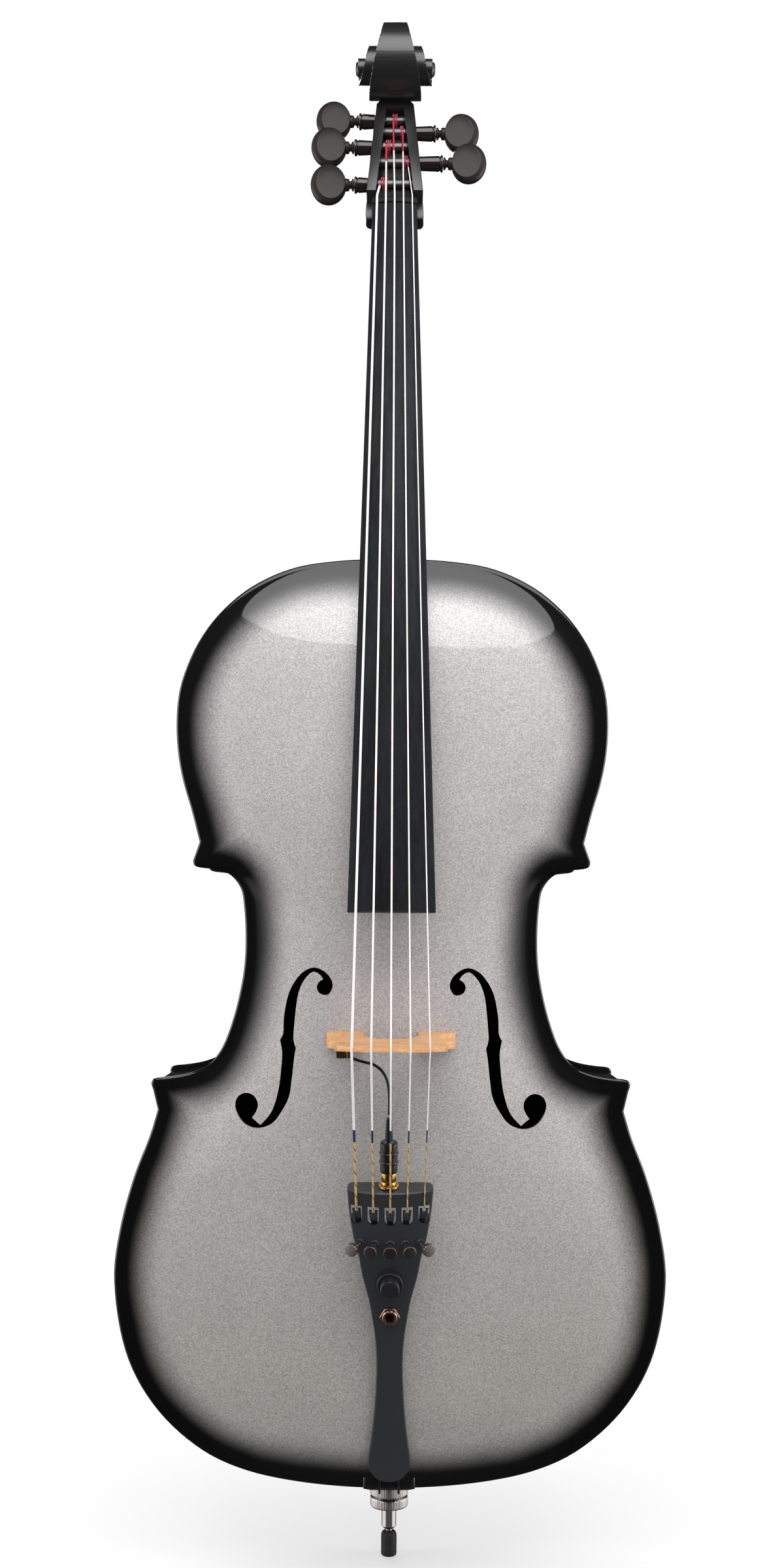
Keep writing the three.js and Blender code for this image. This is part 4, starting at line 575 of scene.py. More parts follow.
# %% [markdown]
# A carved plate stays low at its rim, dips slightly, and then swells to the middle. Rings of the
# outline shrink towards the middle line and rise by a smooth curve. The rim itself is rounded over
# with four narrow rings, which is where the gloss catches the light.

# %% Arched plates
rise_curve = spline([(0, 0), (0.05, 0.02), (0.17, 0.24), (0.36, 0.6), (0.62, 0.89), (1, 1)], 80)
outer_reaches = [
    0.03, 0.045, 0.065, 0.09, 0.12, 0.15, 0.185, 0.22, 0.26,
    0.31, 0.36, 0.42, 0.49, 0.57, 0.66, 0.76, 0.87, 1,
]
under_reaches = [0.05, 0.17, 0.3, 0.5, 0.75, 1]
rim_round = [(2.2, -0.1), (1.1, 0.25), (0.35, 0.95), (0, 2.1)]
WORN_BY = 0.17


def plate_ring(reach, face, outward, arch):
    wear = min(reach / WORN_BY, 1.0)
    base = outline * (1 - wear) + worn * wear
    spine = middle_z + 0.7 * (base[:, 1] - middle_z)
    x = base[:, 0] * (1 - reach)
    z = base[:, 1] * (1 - reach) + spine * reach
    along = (z - middle_z) / (BODY_LENGTH / 2)
    y = face + outward * (arch * (1 - 0.16 * along**2) * read_off(rise_curve, reach))
    return np.stack([x, y, z], axis=1)


def rim_ring(inset, y):
    p = outline + inward * inset
    return np.stack([p[:, 0], np.full(len(p), y), p[:, 1]], axis=1)


def carved_plate(name, face, outward, arch):
    inner = face - outward * PLATE
    outer = [plate_ring(reach, face, outward, arch) for reach in outer_reaches[::-1]]
    rounded = [rim_ring(inset, face - outward * drop) for inset, drop in rim_round]
    rounded += [rim_ring(0.35, inner + outward * 0.7), rim_ring(1.2, inner)]
    under = [plate_ring(reach, inner, outward, arch) for reach in under_reaches]
    rings = [[tuple(p) for p in ring] for ring in (*outer, *rounded, *under)]
    return lofted(name, rings, capped=False)


def mark_rim(obj):
    places = np.zeros(len(obj.data.vertices) * 3)
    obj.data.vertices.foreach_get("co", places)
    mark(obj, "rim_distance", rim_distance(places.reshape(-1, 3)[:, [0, 2]] / MM) * MM)


top_face = carved_plate("top_face", -HALF_DEPTH, -1, TOP_ARCH)
back_face = carved_plate("back_face", HALF_DEPTH, 1, BACK_ARCH)
print("plates", len(top_face.data.polygons), "faces each")

# %% [markdown]
# The f-holes are cut right through the top. Their outline is a smooth closed curve through chosen
# shares of the hole's length, extruded and used as a cutter.

# %% F-holes
F_LENGTH, F_ACROSS, F_HEIGHT = 129.6, 82.7, 365.1
f_shares = [
    (0.1674, -0.5231), (0.1026, -0.4475), (0.0594, -0.3179), (0.0417, -0.1813), (0.0363, -0.0741),
    (0.0502, 0.0023), (0.0324, 0.0347), (0.027, 0.1435), (-0.0015, 0.287), (-0.0409, 0.3657),
    (-0.091, 0.4236), (-0.1597, 0.4529), (-0.2215, 0.4313), (-0.2639, 0.3881), (-0.2778, 0.3372),
    (-0.25, 0.287), (-0.226, 0.283), (-0.192, 0.297), (-0.1775, 0.332), (-0.1906, 0.3634),
    (-0.2176, 0.3804), (-0.1983, 0.4082), (-0.1566, 0.4275),
    (-0.0988, 0.3735), (-0.0664, 0.3009), (-0.0556, 0.2531), (-0.0401, 0.1073), (-0.0355, -0.0015),
    (-0.0502, -0.0455), (-0.0401, -0.1088), (-0.0262, -0.2392), (-0.0093, -0.3465), (0.0386, -0.4414),
    (0.0957, -0.5123), (0.1821, -0.544), (0.257, -0.526), (0.307, -0.472), (0.33, -0.401),
    (0.309, -0.35), (0.257, -0.328), (0.205, -0.35), (0.184, -0.401), (0.199, -0.449), (0.2215, -0.48),
]


def f_hole(side):
    runs = [f_shares[0:6], f_shares[5:21], f_shares[20:29], f_shares[28:], [f_shares[-1], f_shares[0]]]
    counts = [18, 44, 22, 52, 2]
    curve = np.concatenate([spline(run, count)[:-1] for run, count in zip(runs, counts)])
    middle = BODY_BASE + F_HEIGHT
    points = [(side * (F_ACROSS + out * F_LENGTH), middle + up * F_LENGTH) for out, up in curve]
    return prism("f_cutter", points, -HALF_DEPTH - TOP_ARCH - 12, -HALF_DEPTH + 12)


combine(top_face, [f_hole(-1), f_hole(1)], "DIFFERENCE")
mark_rim(top_face)
finish(top_face, silver_flake, "instrument", ["top_plate"], 30)

# %% [markdown]
# The ribs stand between the plates, a little inside their rims, in the same black gloss as the
# back. Inset by its normals, the outline would cross itself at the corners, so points that come
# too near to the outline are dropped.


# %% Ribs and back
def inset_line(distance):
    moved = outline + inward * distance
    return [tuple(p) for p in moved[rim_distance(moved) > distance - 0.05]]


def ribs():
    outer = prism("ribs", inset_line(3.5), -RIB_HALF, RIB_HALF)
    return combine(outer, [prism("rib_hollow", inset_line(6.5), -HALF_DEPTH, HALF_DEPTH)], "DIFFERENCE")


BUTTON_HALF, BUTTON_RISE, BUTTON_FROM = 16.5, 4.5, -8


def back_button():
    turn = [(math.cos(a) * BUTTON_HALF, math.sin(a) * BUTTON_HALF) for a in np.linspace(0, math.pi, 25)]
    arc = [(-x, BUTTON_RISE + z) for x, z in turn]
    points = [(-BUTTON_HALF, BUTTON_FROM), *arc, (BUTTON_HALF, BUTTON_FROM)]
    button = prism("button", [(x, BODY_TOP + z) for x, z in points], HALF_DEPTH - PLATE, HALF_DEPTH - 0.02)
    return soften(button, 0.8, 60)


rib_ring = ribs()
finish(rib_ring, piano_black, "instrument", ["rib_garland"], 40)
combine(back_face, [back_button()], "UNION")
mark_rim(back_face)
finish(back_face, piano_black, "instrument", ["back_plate"], 30)

# %% [markdown]
# ## Places in the frame
# Three groups of pieces lie at a slant. The fingerboard falls back from the strings' line, the
# pegbox leans back further from the nut, and the tailpiece rises to the bridge. A tilted matrix
# turns each piece's own upright drawing into its place.


# %% Slanted places
def tilted(origin, degrees):
    return Matrix.Translation(Vector(origin) * MM) @ Matrix.Rotation(math.radians(-degrees), 4, "X")


def mix(a, b, share):
    return a + (b - a) * share


def sag(radius, across):
    return radius - math.sqrt(radius * radius - across * across)


def world_of(matrix, point):
    return matrix @ (Vector(point) * MM) / MM


NUT_HEIGHT, BOARD_DEPTH, BOARD_SLOPE = 1128.354, -45.516, 10.0905
PEGBOX_DEPTH, PEGBOX_SLOPE = -46.716, 26.565
TAIL_SLOPE = 15.5
BOARD = tilted((0, BOARD_DEPTH, NUT_HEIGHT), BOARD_SLOPE)
PEGBOX = tilted((0, PEGBOX_DEPTH, NUT_HEIGHT), PEGBOX_SLOPE)
TAIL = tilted((0, -145.995, 330.5), -TAIL_SLOPE)
BOARD_LENGTH, BOARD_AT_NUT, BOARD_AT_END, BOARD_RADIUS = 591.0, 36.5, 67.8, 64.0
BOARD_SIDE, NECK_DEPTH = 5.0, 20.5
TAIL_LENGTH, TAIL_WIDTH, TAIL_DEPTH, TAIL_RADIUS = 251.0, 66.0, 22.0, 83.5


def board_half(z):
    return mix(BOARD_AT_NUT, BOARD_AT_END, -z / BOARD_LENGTH) / 2


def glue_depth(z):
    at_nut, at_end = sag(BOARD_RADIUS, BOARD_AT_NUT / 2), sag(BOARD_RADIUS, BOARD_AT_END / 2)
    return mix(at_nut, at_end, -z / BOARD_LENGTH) + BOARD_SIDE


print("board slope", round(math.degrees(BOARD.to_euler().x), 2), "degrees")

# %% [markdown]
# The fingerboard is ebony-black, long and slightly fanned, with an arched top. On the low strings'
# side the arch is planed to a flat, which shows as a paler band in the light. Two rings give the
# whole shape, since it only widens. Its grain runs lengthwise, so the noise is stretched that way.


# %% Fingerboard
def long_grain(name, colour, roughness, dark, stretch=(260.0, 260.0, 5.0), spread=0.18, **constants):
    material, tree, shader, where = start(name, **constants)
    grain = noise(tree, stretched(tree, where, stretch), 1.0, 5.0, 0.65)
    band = noise(tree, stretched(tree, where, (38.0, 38.0, 0.8)), 1.0, 2.0)
    both = weighed(tree, grain, 0.55, band)
    tone = mixed(tree, ranged(tree, both, 0.36, 0.64, 0.0, 1.0), (*dark, 1), (*colour, 1))
    rough = ranged(tree, both, 0.3, 0.7, roughness + spread / 2, roughness - spread / 2)
    feed(tree, shader, Base_Color=tone, Roughness=rough, Normal=bump(tree, grain, 0.00003))
    return material


FLAT_FROM = -0.62


def board_ring(z):
    half, glue = board_half(z), glue_depth(z)
    across = [mix(half, FLAT_FROM * half, i / 30) for i in range(31)]
    arch = [(x, sag(BOARD_RADIUS, x), z) for x in across]
    return [*arch, (-half, sag(BOARD_RADIUS, half), z), (-half, glue, z), (half, glue, z)]


board_black = long_grain(
    "board_black", (0.020, 0.022, 0.025), 0.46, (0.008, 0.008, 0.009), Specular_IOR_Level=0.09,
)
board = soften(lofted("fingerboard_piece", [board_ring(-BOARD_LENGTH), board_ring(-0.3)]), 0.45, 25)
finish(placed(board, BOARD), board_black, "instrument", ["fingerboard"])

# %% [markdown]
# The nut is a low black bar across the board's upper end, arched as the board is and rounded
# towards the pegs. The saddle is a polished black block in the body's lower edge. Its rings run
# across the body and grow from both ends to the full height, which rounds its shoulders.


# %% Nut and saddle
def nut_piece():
    half = BOARD_AT_NUT / 2 + 0.6
    across = [mix(half, -half, i / 24) for i in range(25)]
    top = [(x, sag(BOARD_RADIUS, x) - 1.0) for x in across]
    ring = [*top, (-half, glue_depth(0)), (half, glue_depth(0))]
    rings = [[(x, y + drop, z) for x, y in ring] for z, drop in ((0, 0), (3.5, 0.1), (6.0, 1.2))]
    return soften(lofted("nut_piece", rings), 0.5, 30)


def saddle_piece():
    def ring(x):
        full = min(1.0, (21.0 - abs(x)) / 8.0 + 0.25) ** 0.5
        front, low, high = mix(-60.6, -64.6, full), mix(0.9, -0.5, full), mix(8.0, 13.0, full)
        profile = [
            (-55.6, low), (-59.4, low), (mix(-60.2, -63.2, full), low + 0.5), (front, low + 2.4),
            (front, mix(4.0, 6.5, full)), (mix(-60.1, -61.6, full), high), (-55.6, high),
        ]
        return [(x, y, BODY_BASE + z) for y, z in profile]

    places = [-21, -20, -18, -15, -12, 0, 12, 15, 18, 20, 21]
    return soften(lofted("saddle_piece", [ring(x) for x in places]), 0.5, 30, 3)


finish(placed(nut_piece(), BOARD), board_black, "instrument", ["nut"])
finish(saddle_piece(), piano_black, "instrument", ["saddle"])

# %% [markdown]
# ## The neck
# Handle, heel, pegbox and scroll are carved from one piece, so they are made as overlapping forms
# and joined into one. The handle is a half oval behind the board. The heel widens and sweeps back
# to the button. The scroll is a spiral whose rim winds inwards and widens with every turn.


# %% Handle and heel
GLUE_GAP, NECK_INSET = 0.3, 0.4
HEEL_WAIST, HEEL_RISE, HEEL_TUCK, ROOT_DEEP = 17.5, 21.0, 0.8, 14.5
heel_shares = np.array([
    (0, 1, 1), (0.55, 1, 0.95), (1, 1, 0.72), (1.15, 0.93, 0.6), (1.45, 0.72, 0.62), (2, 0.45, 0.7),
    (2.9, 0.2, 0.75), (4.2, 0.04, 0.7),
])


def handle_ring(z):
    half = board_half(min(z, 0)) - NECK_INSET
    front, side = glue_depth(z) + GLUE_GAP, BOARD_SIDE / 2
    arc = [math.pi * i / 32 for i in range(33)]
    middle = [(half * math.cos(a), front + side + (NECK_DEPTH - side) * math.sin(a), z) for a in arc]
    return [(half, front, z), *middle, (-half, front, z)]


def board_run(z):
    return (z - NUT_HEIGHT) / math.cos(math.radians(BOARD_SLOPE))


def glue_plane(z):
    slope, run = math.radians(BOARD_SLOPE), board_run(z)
    return BOARD_DEPTH + run * math.sin(slope) + (glue_depth(run) + GLUE_GAP) / math.cos(slope)


def heel_ring(z, back, back_half):
    front, front_half = glue_plane(z), board_half(board_run(z)) - NECK_INSET
    waist = min(HEEL_WAIST, front_half)
    given = [
        (front_half, front + BOARD_SIDE), (mix(front_half, waist, 0.7), mix(front, back, 0.32)),
        (waist, mix(front, back, 0.6)), (mix(waist, back_half, 0.8), mix(front, back, 0.9)),
        (back_half, back),
    ]
    side = [(front_half, front, z)] + [(x, y, z) for x, y in spline(given, 22)]
    return side + mirrored(side)


def heel_piece():
    rings = []
    for up in np.unique(np.concatenate([heel_shares[:, 0], np.linspace(1, 4.2, 28)])):
        z = BODY_TOP + up * HEEL_RISE
        neck_back = glue_plane(z) + NECK_DEPTH - HEEL_TUCK
        back = mix(neck_back, RIB_HALF, read_off(heel_shares, up))
        rings.append(heel_ring(z, back, read_off(heel_shares, up, 2) * BUTTON_HALF))
    return lofted("heel", rings)


def root_piece():
    return lofted("root", [heel_ring(z, RIB_HALF, BUTTON_HALF) for z in (BODY_TOP - ROOT_DEEP, BODY_TOP)])


neck_piece = placed(lofted("neck_piece", [handle_ring(z) for z in (-210, -140, -70, -30, 0, 6.3)]), BOARD)
heel_part, root_part = heel_piece(), root_piece()
print("neck parts", len(neck_piece.data.vertices), len(heel_part.data.vertices), "points")

# %% [markdown]
# The pegbox is a tapering trough, rounded at its back corners. Each turn of the scroll is one
# closed spiral disc with dished sides, and its end steps down square to the width it began with.
# Each peg has a place along the box, a side, a reach and the coils that its string takes.

# %% Pegbox and scroll sizes
peg_rows = [
    {"side": -1, "along": 26.3, "reach": 40.0, "loops": 4, "start": -11.0, "way": 1},
    {"side": -1, "along": 71.4, "reach": 40.6, "loops": 3, "start": -7.2, "way": 1},
    {"side": -1, "along": 103.8, "reach": 37.1, "loops": 3, "start": -1.6, "way": 1},
    {"side": 1, "along": 89.0, "reach": 41.1, "loops": 2, "start": 6.6, "way": -1},
    {"side": 1, "along": 52.3, "reach": 46.7, "loops": 2, "start": 10.1, "way": -1},
]
PEG_DEPTH = 6.3
SCROLL_RADIUS, EYE_HALF, SCROLL_START = 36.3, 34.0, 0.45
SCROLL = Matrix.Translation(PEGBOX @ (Vector((0, -15.7, 141.0)) * MM))
ACROSS = Matrix.Rotation(math.pi / 2, 4, "Y")
scroll_shares = np.array([
    (1, 0.25), (1, 0.25), (1, 0.28), (0.93, 0.455), (0.71, 0.655), (0.6, 0.62), (0.51, 0.61), (0.45, 0.75),
    (0.37, 0.92), (0.3, 0.93), (0.24, 0.94), (0.2, 0.94), (0.18, 0.94), (0.17, 0.94),
])
rim_trim = np.array([
    (1, 1), (2, 0.911), (2.35, 0.836), (2.7, 0.894), (3, 1.022), (3.25, 1.109), (3.5, 1.126),
    (3.75, 1.074), (4, 1),
])
eye_profile = [(0, -34), (3.4, -34), (5.3, -33.2), (6, -31), (6, 31), (5.3, 33.2), (3.4, 34), (0, 34)]
print("pegs", len(peg_rows), "scroll", 2 * EYE_HALF, "mm wide")


# %% Pegbox forms
def box_ring(along, half, front, back, cut=4.0):
    cut = min(cut, (back - front) / 2)
    turn = [math.pi / 2 * i / 8 for i in range(9)]
    corner = [(half - cut + cut * math.cos(a), back - cut + cut * math.sin(a), along) for a in turn]
    return [(half, front, along), *corner, *mirrored(corner), (-half, front, along)]


def pegbox_half(along):
    return mix(46.8, 33.5, (along - 10.5) / 93.5) / 2


def cavity_half(along):
    return mix(31.6, 15.6, (along - 9.0) / 95.0) / 2


def cavity_piece():
    def ring(along, floor):
        half = cavity_half(along)
        return [(half, -6, along), (half, floor, along), (-half, floor, along), (-half, -6, along)]

    return soften(lofted("cavity", [ring(9.0, 22.0), ring(112.0, 17.0)]), 1.5, 60, 3)


def peg_place(row):
    return PEGBOX @ Matrix.Translation((0, PEG_DEPTH * MM, row["along"] * MM))


def outward(row):
    return ACROSS if row["side"] > 0 else ACROSS @ Matrix.Rotation(math.pi, 4, "X")


def peg_hole(row, radius, side):
    low, high = sorted((0.0, (pegbox_half(row["along"]) + 4) * side))
    return rod(radius, low, high, peg_place(row) @ ACROSS, 32)


print("pegbox", [round(2 * pegbox_half(row["along"]), 1) for row in peg_rows], "mm wide at the pegs")


# %% Turns of the scroll
def scroll_rim(quarters):
    place = min(quarters, len(scroll_shares) - 1.0)
    radius, half = (float(np.interp(place, range(len(scroll_shares)), column)) for column in scroll_shares.T)
    return radius * SCROLL_RADIUS, half * EYE_HALF


def scroll_turn(turn, steps=90):
    start_half = scroll_rim(SCROLL_START + 4 * turn)[1]
    rows = []
    for i in range(steps + 2):
        share = min(i / steps, 1)
        quarters = SCROLL_START + 4 * (turn + share)
        radius, half = scroll_rim(quarters)
        half = start_half if i > steps else half
        dish = 2.4 * math.sin(math.pi * share)
        y, z = radius * math.sin(quarters * math.pi / 2), -radius * math.cos(quarters * math.pi / 2)
        low = [(half, y, z), (half - dish, 0.72 * y, 0.72 * z)]
        rows.append([*low, *[(-x, y, z) for x, y, z in low]])
    points = [p for row in rows for p in row] + [(start_half, 0, 0), (-start_half, 0, 0)]
    middle, count, faces = 4 * len(rows), len(rows), []
    for i in range(count):
        a, b = 4 * i, 4 * ((i + 1) % count)
        faces += [(a, b, b + 1, a + 1), (a + 1, b + 1, middle), (b + 2, a + 2, a + 3, b + 3)]
        faces += [(b + 3, a + 3, middle + 1), (a, a + 2, b + 2, b)]
    return clean(new_object("scroll_turn", points, faces))


def trim_rim(obj):
    for vertex in obj.data.vertices:
        place = SCROLL.inverted() @ vertex.co / MM
        quarters = math.atan2(place.y, -place.z) / (math.pi / 2) % 4
        quarters += 4 if quarters < SCROLL_START else 0
        near = math.hypot(place.y, place.z) < SCROLL_RADIUS + 0.7
        if near and abs(place.x) < scroll_rim(quarters)[1] + 0.05:
            place.x *= read_off(rim_trim, quarters)
            vertex.co = SCROLL @ (place * MM)


print("turns begin at", [round(scroll_rim(SCROLL_START + 4 * turn)[0], 1) for turn in range(3)], "mm")

# %% [markdown]
# Three turns and the eye overlap. A fine voxel remesh makes them one solid, and a little smoothing
# takes its steps away, as the carver's last scraping does. The scroll then joins the pegbox, the
# heel and the handle, and the trough, the nut's seat and the holes for the pegs are cut out.

# %% Joining the neck
glue = glue_depth(0)
pegbox_root = lofted("pegbox_root", [
    box_ring(-6.5, 23.7, glue + 4.2, (glue + 1.2 + NECK_DEPTH) / 2), box_ring(-3.2, 24.0, glue + 4.2, 25.0),
    box_ring(0, 24.0, glue + 3.2, 28.5), box_ring(10.5, 23.4, glue + 2.7, 31.5),
])
cheeks = lofted("cheeks", [
    box_ring(10.2, 23.4, -2.5, 31.5), box_ring(60, pegbox_half(60), -2.5, 27.6),
    box_ring(115.0, pegbox_half(115.0), -2.5, 24.0), box_ring(122.9, 11.2, -2.5, 23.4),
    box_ring(138.0, 8.9, 2.0, 19.9),
])
placed(pegbox_root, PEGBOX)
placed(soften(cheeks, 0.8, 50), PEGBOX)
eye = turned("eye", eye_profile, 48, SCROLL @ ACROSS)
scroll = merged([placed(scroll_turn(turn), SCROLL) for turn in range(3)] + [eye])
applied(scroll, "REMESH", mode="VOXEL", voxel_size=0.0006)
applied(scroll, "SMOOTH", factor=0.5, iterations=2)
trim_rim(scroll)
nut_seat = block("nut_seat", (-19.0, -20, -0.3), (19.0, glue + 0.3, 6.3), matrix=BOARD)
combine(neck_piece, [heel_part, root_part, pegbox_root, cheeks, scroll], "UNION")
combine(neck_piece, [placed(cavity_piece(), PEGBOX), nut_seat], "DIFFERENCE")
for row in peg_rows:
    combine(neck_piece, [peg_hole(row, 6.1, row["side"]), peg_hole(row, 5.2, -row["side"])], "DIFFERENCE")
clean(neck_piece)
satin_black = coloured(
    "satin_black", (0.011, 0.011, 0.012), 0.34, 0.08, 420.0, 0.15, 0.000008,
    Coat_Weight=0.7, Coat_Roughness=0.28, Specular_IOR_Level=0.6,
)
finish(neck_piece, satin_black, "instrument", ["neck"], 32)

# %% [markdown]
# ## Pegs
# These are geared pegs: a fixed shell in the cheek, a stem with an oval head outside it, and a
# shaft across the box that turns a quarter as far. Shell, stem and shaft are turned. Each head is
# a flat oval lens with a slightly dished middle, so it is lofted from ovals that shrink to its face.

# %% Peg finishes and shells
peg_composite = coloured(
    "peg_composite", (0.020, 0.0165, 0.0155), 0.34, 0.05, 900.0, 0.1, 0.00001, Specular_IOR_Level=0.28,
)
peg_gloss = coloured(
    "peg_gloss", (0.016, 0.010, 0.010), 0.16, 0.06, 500.0, 0.15, 0.000005,
    Coat_Weight=0.6, Coat_Roughness=0.08,
)
HEAD_REACH, HEAD_WIDE, HEAD_TALL = 6.4, 15.0, 16.6
lens_shares = [
    (0.985, 1.9, 0), (0.95, 3.0, 0.2), (0.88, 4.1, 0.9), (0.80, 5.0, 1.9), (0.785, 5.15, 2.1),
    (0.77, 5.1, 2.2), (0.7, 4.75, 2.2), (0.45, 4.3, 1.6), (0.2, 4.1, 0.8),
]


def peg_shell_piece(row, name):
    inner, outer = cavity_half(row["along"]) + 0.2, row["reach"] - HEAD_REACH
    ring, side = outer - 2.2, pegbox_half(row["along"]) + 0.4
    profile = [
        (3.6, inner), (5.7, inner), (5.7, side), (6.3, ring - 1.2), (5.8, ring - 0.9), (5.8, ring - 0.4),
        (6.5, ring), (6.85, ring + 0.5), (6.85, outer - 0.6), (6.4, outer - 0.1), (5.4, outer),
        (3.6, outer), (3.6, inner),
    ]
    return turned(name, profile, 48, peg_place(row) @ outward(row))


print("lens", 2 * HEAD_WIDE, "by", 2 * HEAD_TALL, "mm")


# %% Peg shafts and heads
def peg_shaft_piece(row, name):
    inner, far = cavity_half(row["along"]), pegbox_half(row["along"]) - 0.3
    profile = [
        (0, -far), (4.0, -far), (4.5, 0.4 - far), (4.8, 1.0 - far), (4.8, inner - 0.6), (4.5, inner - 0.3),
        (2.9, inner - 0.3), (2.9, inner + 6.0), (0, inner + 6.0),
    ]
    return turned(name, profile, 48, peg_place(row) @ outward(row))


def peg_head_piece(row, name):
    waist, reach = row["reach"] - HEAD_REACH, row["reach"]
    stem = turned("stem", [
        (0, waist - 9), (2.9, waist - 9), (2.9, waist + 0.3), (4.6, waist + 0.3), (5, waist + 0.7),
        (5, waist + 1.5), (4.4, waist + 2.0), (2.9, waist + 2.8), (2.9, reach - 2.8), (4.4, reach - 2.1),
        (5, reach - 1.2), (5, reach + 0.4), (3.5, reach + 5.5), (0, reach + 5.5),
    ], 48)
    angles = np.arange(96) * math.pi / 48

    def oval(size, thick, shift=0.0):
        middle, wide, tall = reach + HEAD_WIDE - shift, HEAD_WIDE * size, HEAD_TALL * size
        return [(middle + wide * math.cos(a), thick, tall * math.sin(a)) for a in angles]

    back = [oval(size, -thick, shift) for size, thick, shift in lens_shares[::-1]]
    front = [oval(size, thick, shift) for size, thick, shift in lens_shares]
    lens = lofted("lens", [*back, oval(1.0, -0.8), oval(1.0, 0.8), *front])
    lens.data.transform(Matrix.Rotation(-math.pi / 2, 4, "Y"))
    combine(lens, [stem], "UNION")
    lens.name = name
    return placed(clean(lens), Matrix.Translation(peg_place(row).to_translation()) @ outward(row))


shaft_metal = coloured("shaft_metal", (0.15, 0.147, 0.145), 0.36, 0.08, 700.0, 0.15, 0.00001, Metallic=1.0)
for number, row in enumerate(peg_rows, 1):
    shell = peg_shell_piece(row, f"peg_shell_{number}")
    shaft = peg_shaft_piece(row, f"peg_barrel_{number}")
    head = peg_head_piece(row, f"peg_grip_{number}")
    finish(shell, peg_gloss, "instrument", [f"peg_housing_{number}"])
    finish(shaft, shaft_metal, f"peg_shaft_{number}", [f"peg_shaft_{number}"])
    finish(head, peg_composite, f"peg_head_{number}", [f"peg_head_{number}"], 30)

# %% [markdown]
# ## Strings
# Each string runs from its lever over the bridge and the nut to its peg. The playing length is
# bright flat-wound steel. The ends are wrapped in silk: golden with a dark thread and a navy band
# below, red above. The silk's threads are drawn by the map along the tube, its lower zones by
# height, and its upper zone by the length left to the peg, which is stored on the mesh. The
# grooves between the turns of the steel and of the red silk are painted darker, as painted shade.

# %% String paths
STRING_RADII = [1.0, 0.8, 0.7, 0.6, 0.5]
PEG_SILK = [0.004, 0.020, 0.040, 0.026, 0.008]
WIRE = 0.55
WINDING_RADIUS = 4.8 + 0.3 + WIRE
NUT_SPACING, BRIDGE_SPACING, TAIL_SPACING, SCREW_SPACING = 7.25, 14.65, 13.0, 11.4
NUT_EXIT, SLOT_FROM, SLOT_DEEP = 6.0, 11.8, 15.6
BRIDGE_Z, BRIDGE_TOP, CROWN_RADIUS = 441.5, -176.99, 72.0
BRIDGE_HALF, BRIDGE_HEIGHT, CROWN_HALF = 51.0, 92.0, 38.5
PLATE_TOP = BRIDGE_TOP + BRIDGE_HEIGHT


def string_across(i, spacing):
    return (i - 2) * spacing


def at_nut(i, along):
    x = string_across(i, NUT_SPACING)
    return world_of(BOARD, (x, sag(BOARD_RADIUS, x) - 1.2, along))


def at_bridge(i):
    x = string_across(i, BRIDGE_SPACING)
    return Vector((x, BRIDGE_TOP + sag(CROWN_RADIUS, x), BRIDGE_Z))


def at_tail(i):
    x = string_across(i, TAIL_SPACING)
    front, radius = sag(TAIL_RADIUS, x), STRING_RADII[i]
    edge = world_of(TAIL, (x, front - radius - 0.3, radius - SLOT_FROM))
    return [world_of(TAIL, (x, front + radius, 0.3 - SLOT_DEEP)), edge]


def at_peg(i):
    row = peg_rows[i]
    tangent = world_of(PEGBOX, (row["start"], PEG_DEPTH - WINDING_RADIUS, row["along"]))
    clear = WINDING_RADIUS + WIRE + 0.3 + STRING_RADII[i]
    back = math.sqrt(clear**2 - WINDING_RADIUS**2)
    return tangent - (tangent - at_nut(i, NUT_EXIT)).normalized() * back


def string_path(i):
    corners = [*at_tail(i), at_bridge(i), at_nut(i, 0), at_nut(i, NUT_EXIT), at_peg(i)]
    path = [corners[0]]
    for a, b in zip(corners, corners[1:]):
        steps = max(1, round((b - a).length / 12))
        path += [a.lerp(b, (k + 1) / steps) for k in range(steps)]
    return path


print("playing length", round((at_nut(2, 0) - at_bridge(2)).length, 1), "mm")

# %% Silk and steel
NAVY_FROM, SILK_UP_TO, SILK_FROM_PEG = (0.3702, 0.3706), (0.3798, 0.3804), (-0.0002, 0.0002)


def threads(tree, turns, per_metre):
    wrap = node(tree, "ShaderNodeUVMap", {"uv_map": "wrap"}).outputs[0]
    group = {"node_tree": wound}
    return node(tree, "ShaderNodeGroup", group, Vector=wrap, Turns=turns, Per_Metre=per_metre).outputs


def red_threads(tree):
    ridge = threads(tree, 3.0, 5200.0)["Ridge"]
    # Painted shade: each red thread is darker at its edges, in the grooves between the turns.
    return ridge, mixed(tree, ridge, (0.36, 0.006, 0.022, 1), (0.66, 0.02, 0.06, 1))


